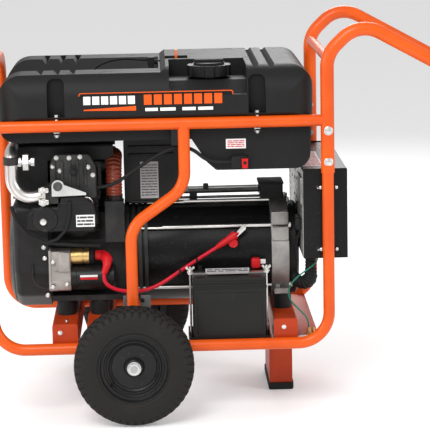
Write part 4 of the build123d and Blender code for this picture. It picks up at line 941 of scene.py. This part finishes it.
piece("wing_nuts", joined(wing_nut(-106.5), wing_nut(93.5)), ROD_ZINC)
cap = slab(smooth_corners(rectangle(56, 80, 362, 390), 7), "XZ", -176, -152, 5)
piece("battery_cap", cap, RED)
tab = slab(smooth_corners(rectangle(78, 94, 374, 386), 2), "XZ", -168, -164, 0.6)
piece("battery_tab", tab, WHITE)
ties = [turned([(-3, 4), (-3, 6.6), (3, 6.6), (3, 4)], "X", place, 20)
        for place in ((-132, -189, 362), (-87, -163, 387))]
piece("cable_ties", joined(*ties), RUBBER)
lug_boot = along_path([(-34, -152, 418), (-14, -148, 430), (6, -144, 442), (16, -141, 448)], 8)
piece("cable_end_boot", pipe(lug_boot, np.interp(np.linspace(0, 1, len(lug_boot)), [0, 0.3, 0.6, 1],
                                                 [6, 8.5, 9, 12]), 20),
      RED)
cuff = turned([(-150, 9), (-152, 12), (-132, 12), (-130, 9)], "Y", (10, 0, 428), 28)
piece("cable_end_cap", cuff, RED)
lug = slab(smooth_corners([(12, 446), (20, 440), (44, 462), (46, 472), (36, 474)], 2.5), "XZ", -137, -141,
           1)
piece("cable_lug", lug, ROD_ZINC)
print("battery done")

# %% [markdown]
# ## Control box
# Here are the louvres, slots and plugs on the back plate, and the ribbed sleeve that carries the wires
# down. The sleeve swells where it turns, so its radius is a sum of a wave and a rounded hump.

# %% Control box
box_screws = [round_screw("Y", (x, -252, z), 5, 5, -1) for x in (234, 274) for z in (588, 426)]
piece("box_screws", joined(*box_screws), ROD_ZINC)
cones = [turned([(-252, 5), (-253, 5), (-262, 1.5)], "Y", (226, 0, z), 20) for z in (588, 426)]
piece("box_studs", joined(*cones), ROD_ZINC)
piece("box_label", slab(rectangle(192, 246, -190, 60), "XY", 634, 635.2), WHITE)
piece("box_label_print", bars(196, 242, -184, 54, 10, "XY", 635.1, 0.5, 9), RED_INK)
folds = [slab(rectangle(190, 302, y, y + 3), "XY", 634, 637, 0.8) for y in (-250, 247)]
piece("box_folds", joined(*folds), GLOSS_BLACK)
louvres = [slab(smooth_corners(rectangle(-236 + 15 * n, -226 + 15 * n, 540, 612), 4), "YZ", 187, 183.5,
                1.5) for n in range(7)]
piece("back_louvres", joined(*louvres), BACK_ZINC)
# The slots are thin black plates on the back plate: their black is painted shade for the dark inside of the
# box seen through each opening.
slot_shade_plates = [slab(smooth_corners(rectangle(y, y + 16, z, z + 7), 3), "YZ", 187, 186) for y, z in
         ((-96, 600), (-60, 578), (-20, 600), (20, 566), (60, 590), (110, 560), (150, 598), (-100, 520),
          (-40, 505), (40, 520))]
piece("back_slots_painted_shade", joined(*slot_shade_plates), BLACK)
plugs = [slab(smooth_corners(rectangle(-214 + 26 * n, -194 + 26 * n, 470, 500), 3), "YZ", 187, 174, 2)
         for n in range(3)]
piece("back_connectors", joined(*plugs), PLASTIC)


def corrugated_boot():
    """The wire sleeve: radius 14 plus a wave along its path, with a rounded bulge where it turns."""
    path = along_path([(214, -150, 404), (214, -150, 322), (186, -140, 312), (170, -112, 330),
                       (168, -96, 346)], 24, False, 1.5)
    far = np.arange(len(path)) * 1.5
    bulge = 5.0 * np.exp(-((far - 84) / 26) ** 2)
    return pipe(path, 13 + bulge + 1.8 * np.abs(np.sin(np.pi * far / 9)), 32, (0.3, 1, 0))


piece("corrugated_boot", corrugated_boot(), RUBBER, replaces=["harness_boot"])
wires = [along_path([(190, -170 + 14 * n, 470 - 12 * n), (180, -160 + 12 * n, 440),
                     (176, -150 + 10 * n, 410), (178, -140 + 8 * n, 372)], 14) for n in range(4)]
piece("wire_bundle", joined(*[pipe(w, 3.4, 10, (0.2, 1, 0)) for w in wires]), RUBBER)
print("control box done")

# %% [markdown]
# ## Small fittings
# The last pieces are brass studs for the earth wire, bolts on the cross channels and plates at the axle.
# Each is one outline, and small errors here hardly show, so they come last.

# %% Ground stud, channel bolts and brackets
stud = [turned([(184, 4), (184, 9), (190, 9), (191, 6.5), (197, 6.5), (197, 4), (212, 3.6), (214, 2)], "Z",
               (x, y, 0), 28, [1, 1, 1, 1, 1, 0, 0, 0]) for x, y in ((200, -235), (213, -226))]
piece("earth_studs", joined(*stud), BRASS)
lugs = [bolt("Y", (x, -260, 224), 8, 6, -1) for x in (-448, -363, 134)]
piece("channel_bolts", joined(*lugs), ROD_ZINC)
plates = [slab(smooth_corners(rectangle(x, x + 26, 284, 318), 3), "XZ", -255, -262, 1)
          for x in (-282, -237)]
piece("bracket_plates", joined(*plates), GREY_BRACKET)
plate_bolts = [round_screw("Y", (x, -262, 306), 5.5, 4, -1) for x in (-232, -269)]
piece("bracket_bolts", joined(*plate_bolts), BLACK)
piece("end_plate_strip", slab(rectangle(170, 214, -252, -236), "XY", 194, 195.2), WHITE)
crank_studs = [turned([(z, 4), (z + 6, 5)], "Z", (x, -250, 0), 12) for x, z in ((-430, 250), (-345, 250))]
piece("mount_studs", joined(*crank_studs), ROD_ZINC)
print("small fittings done")
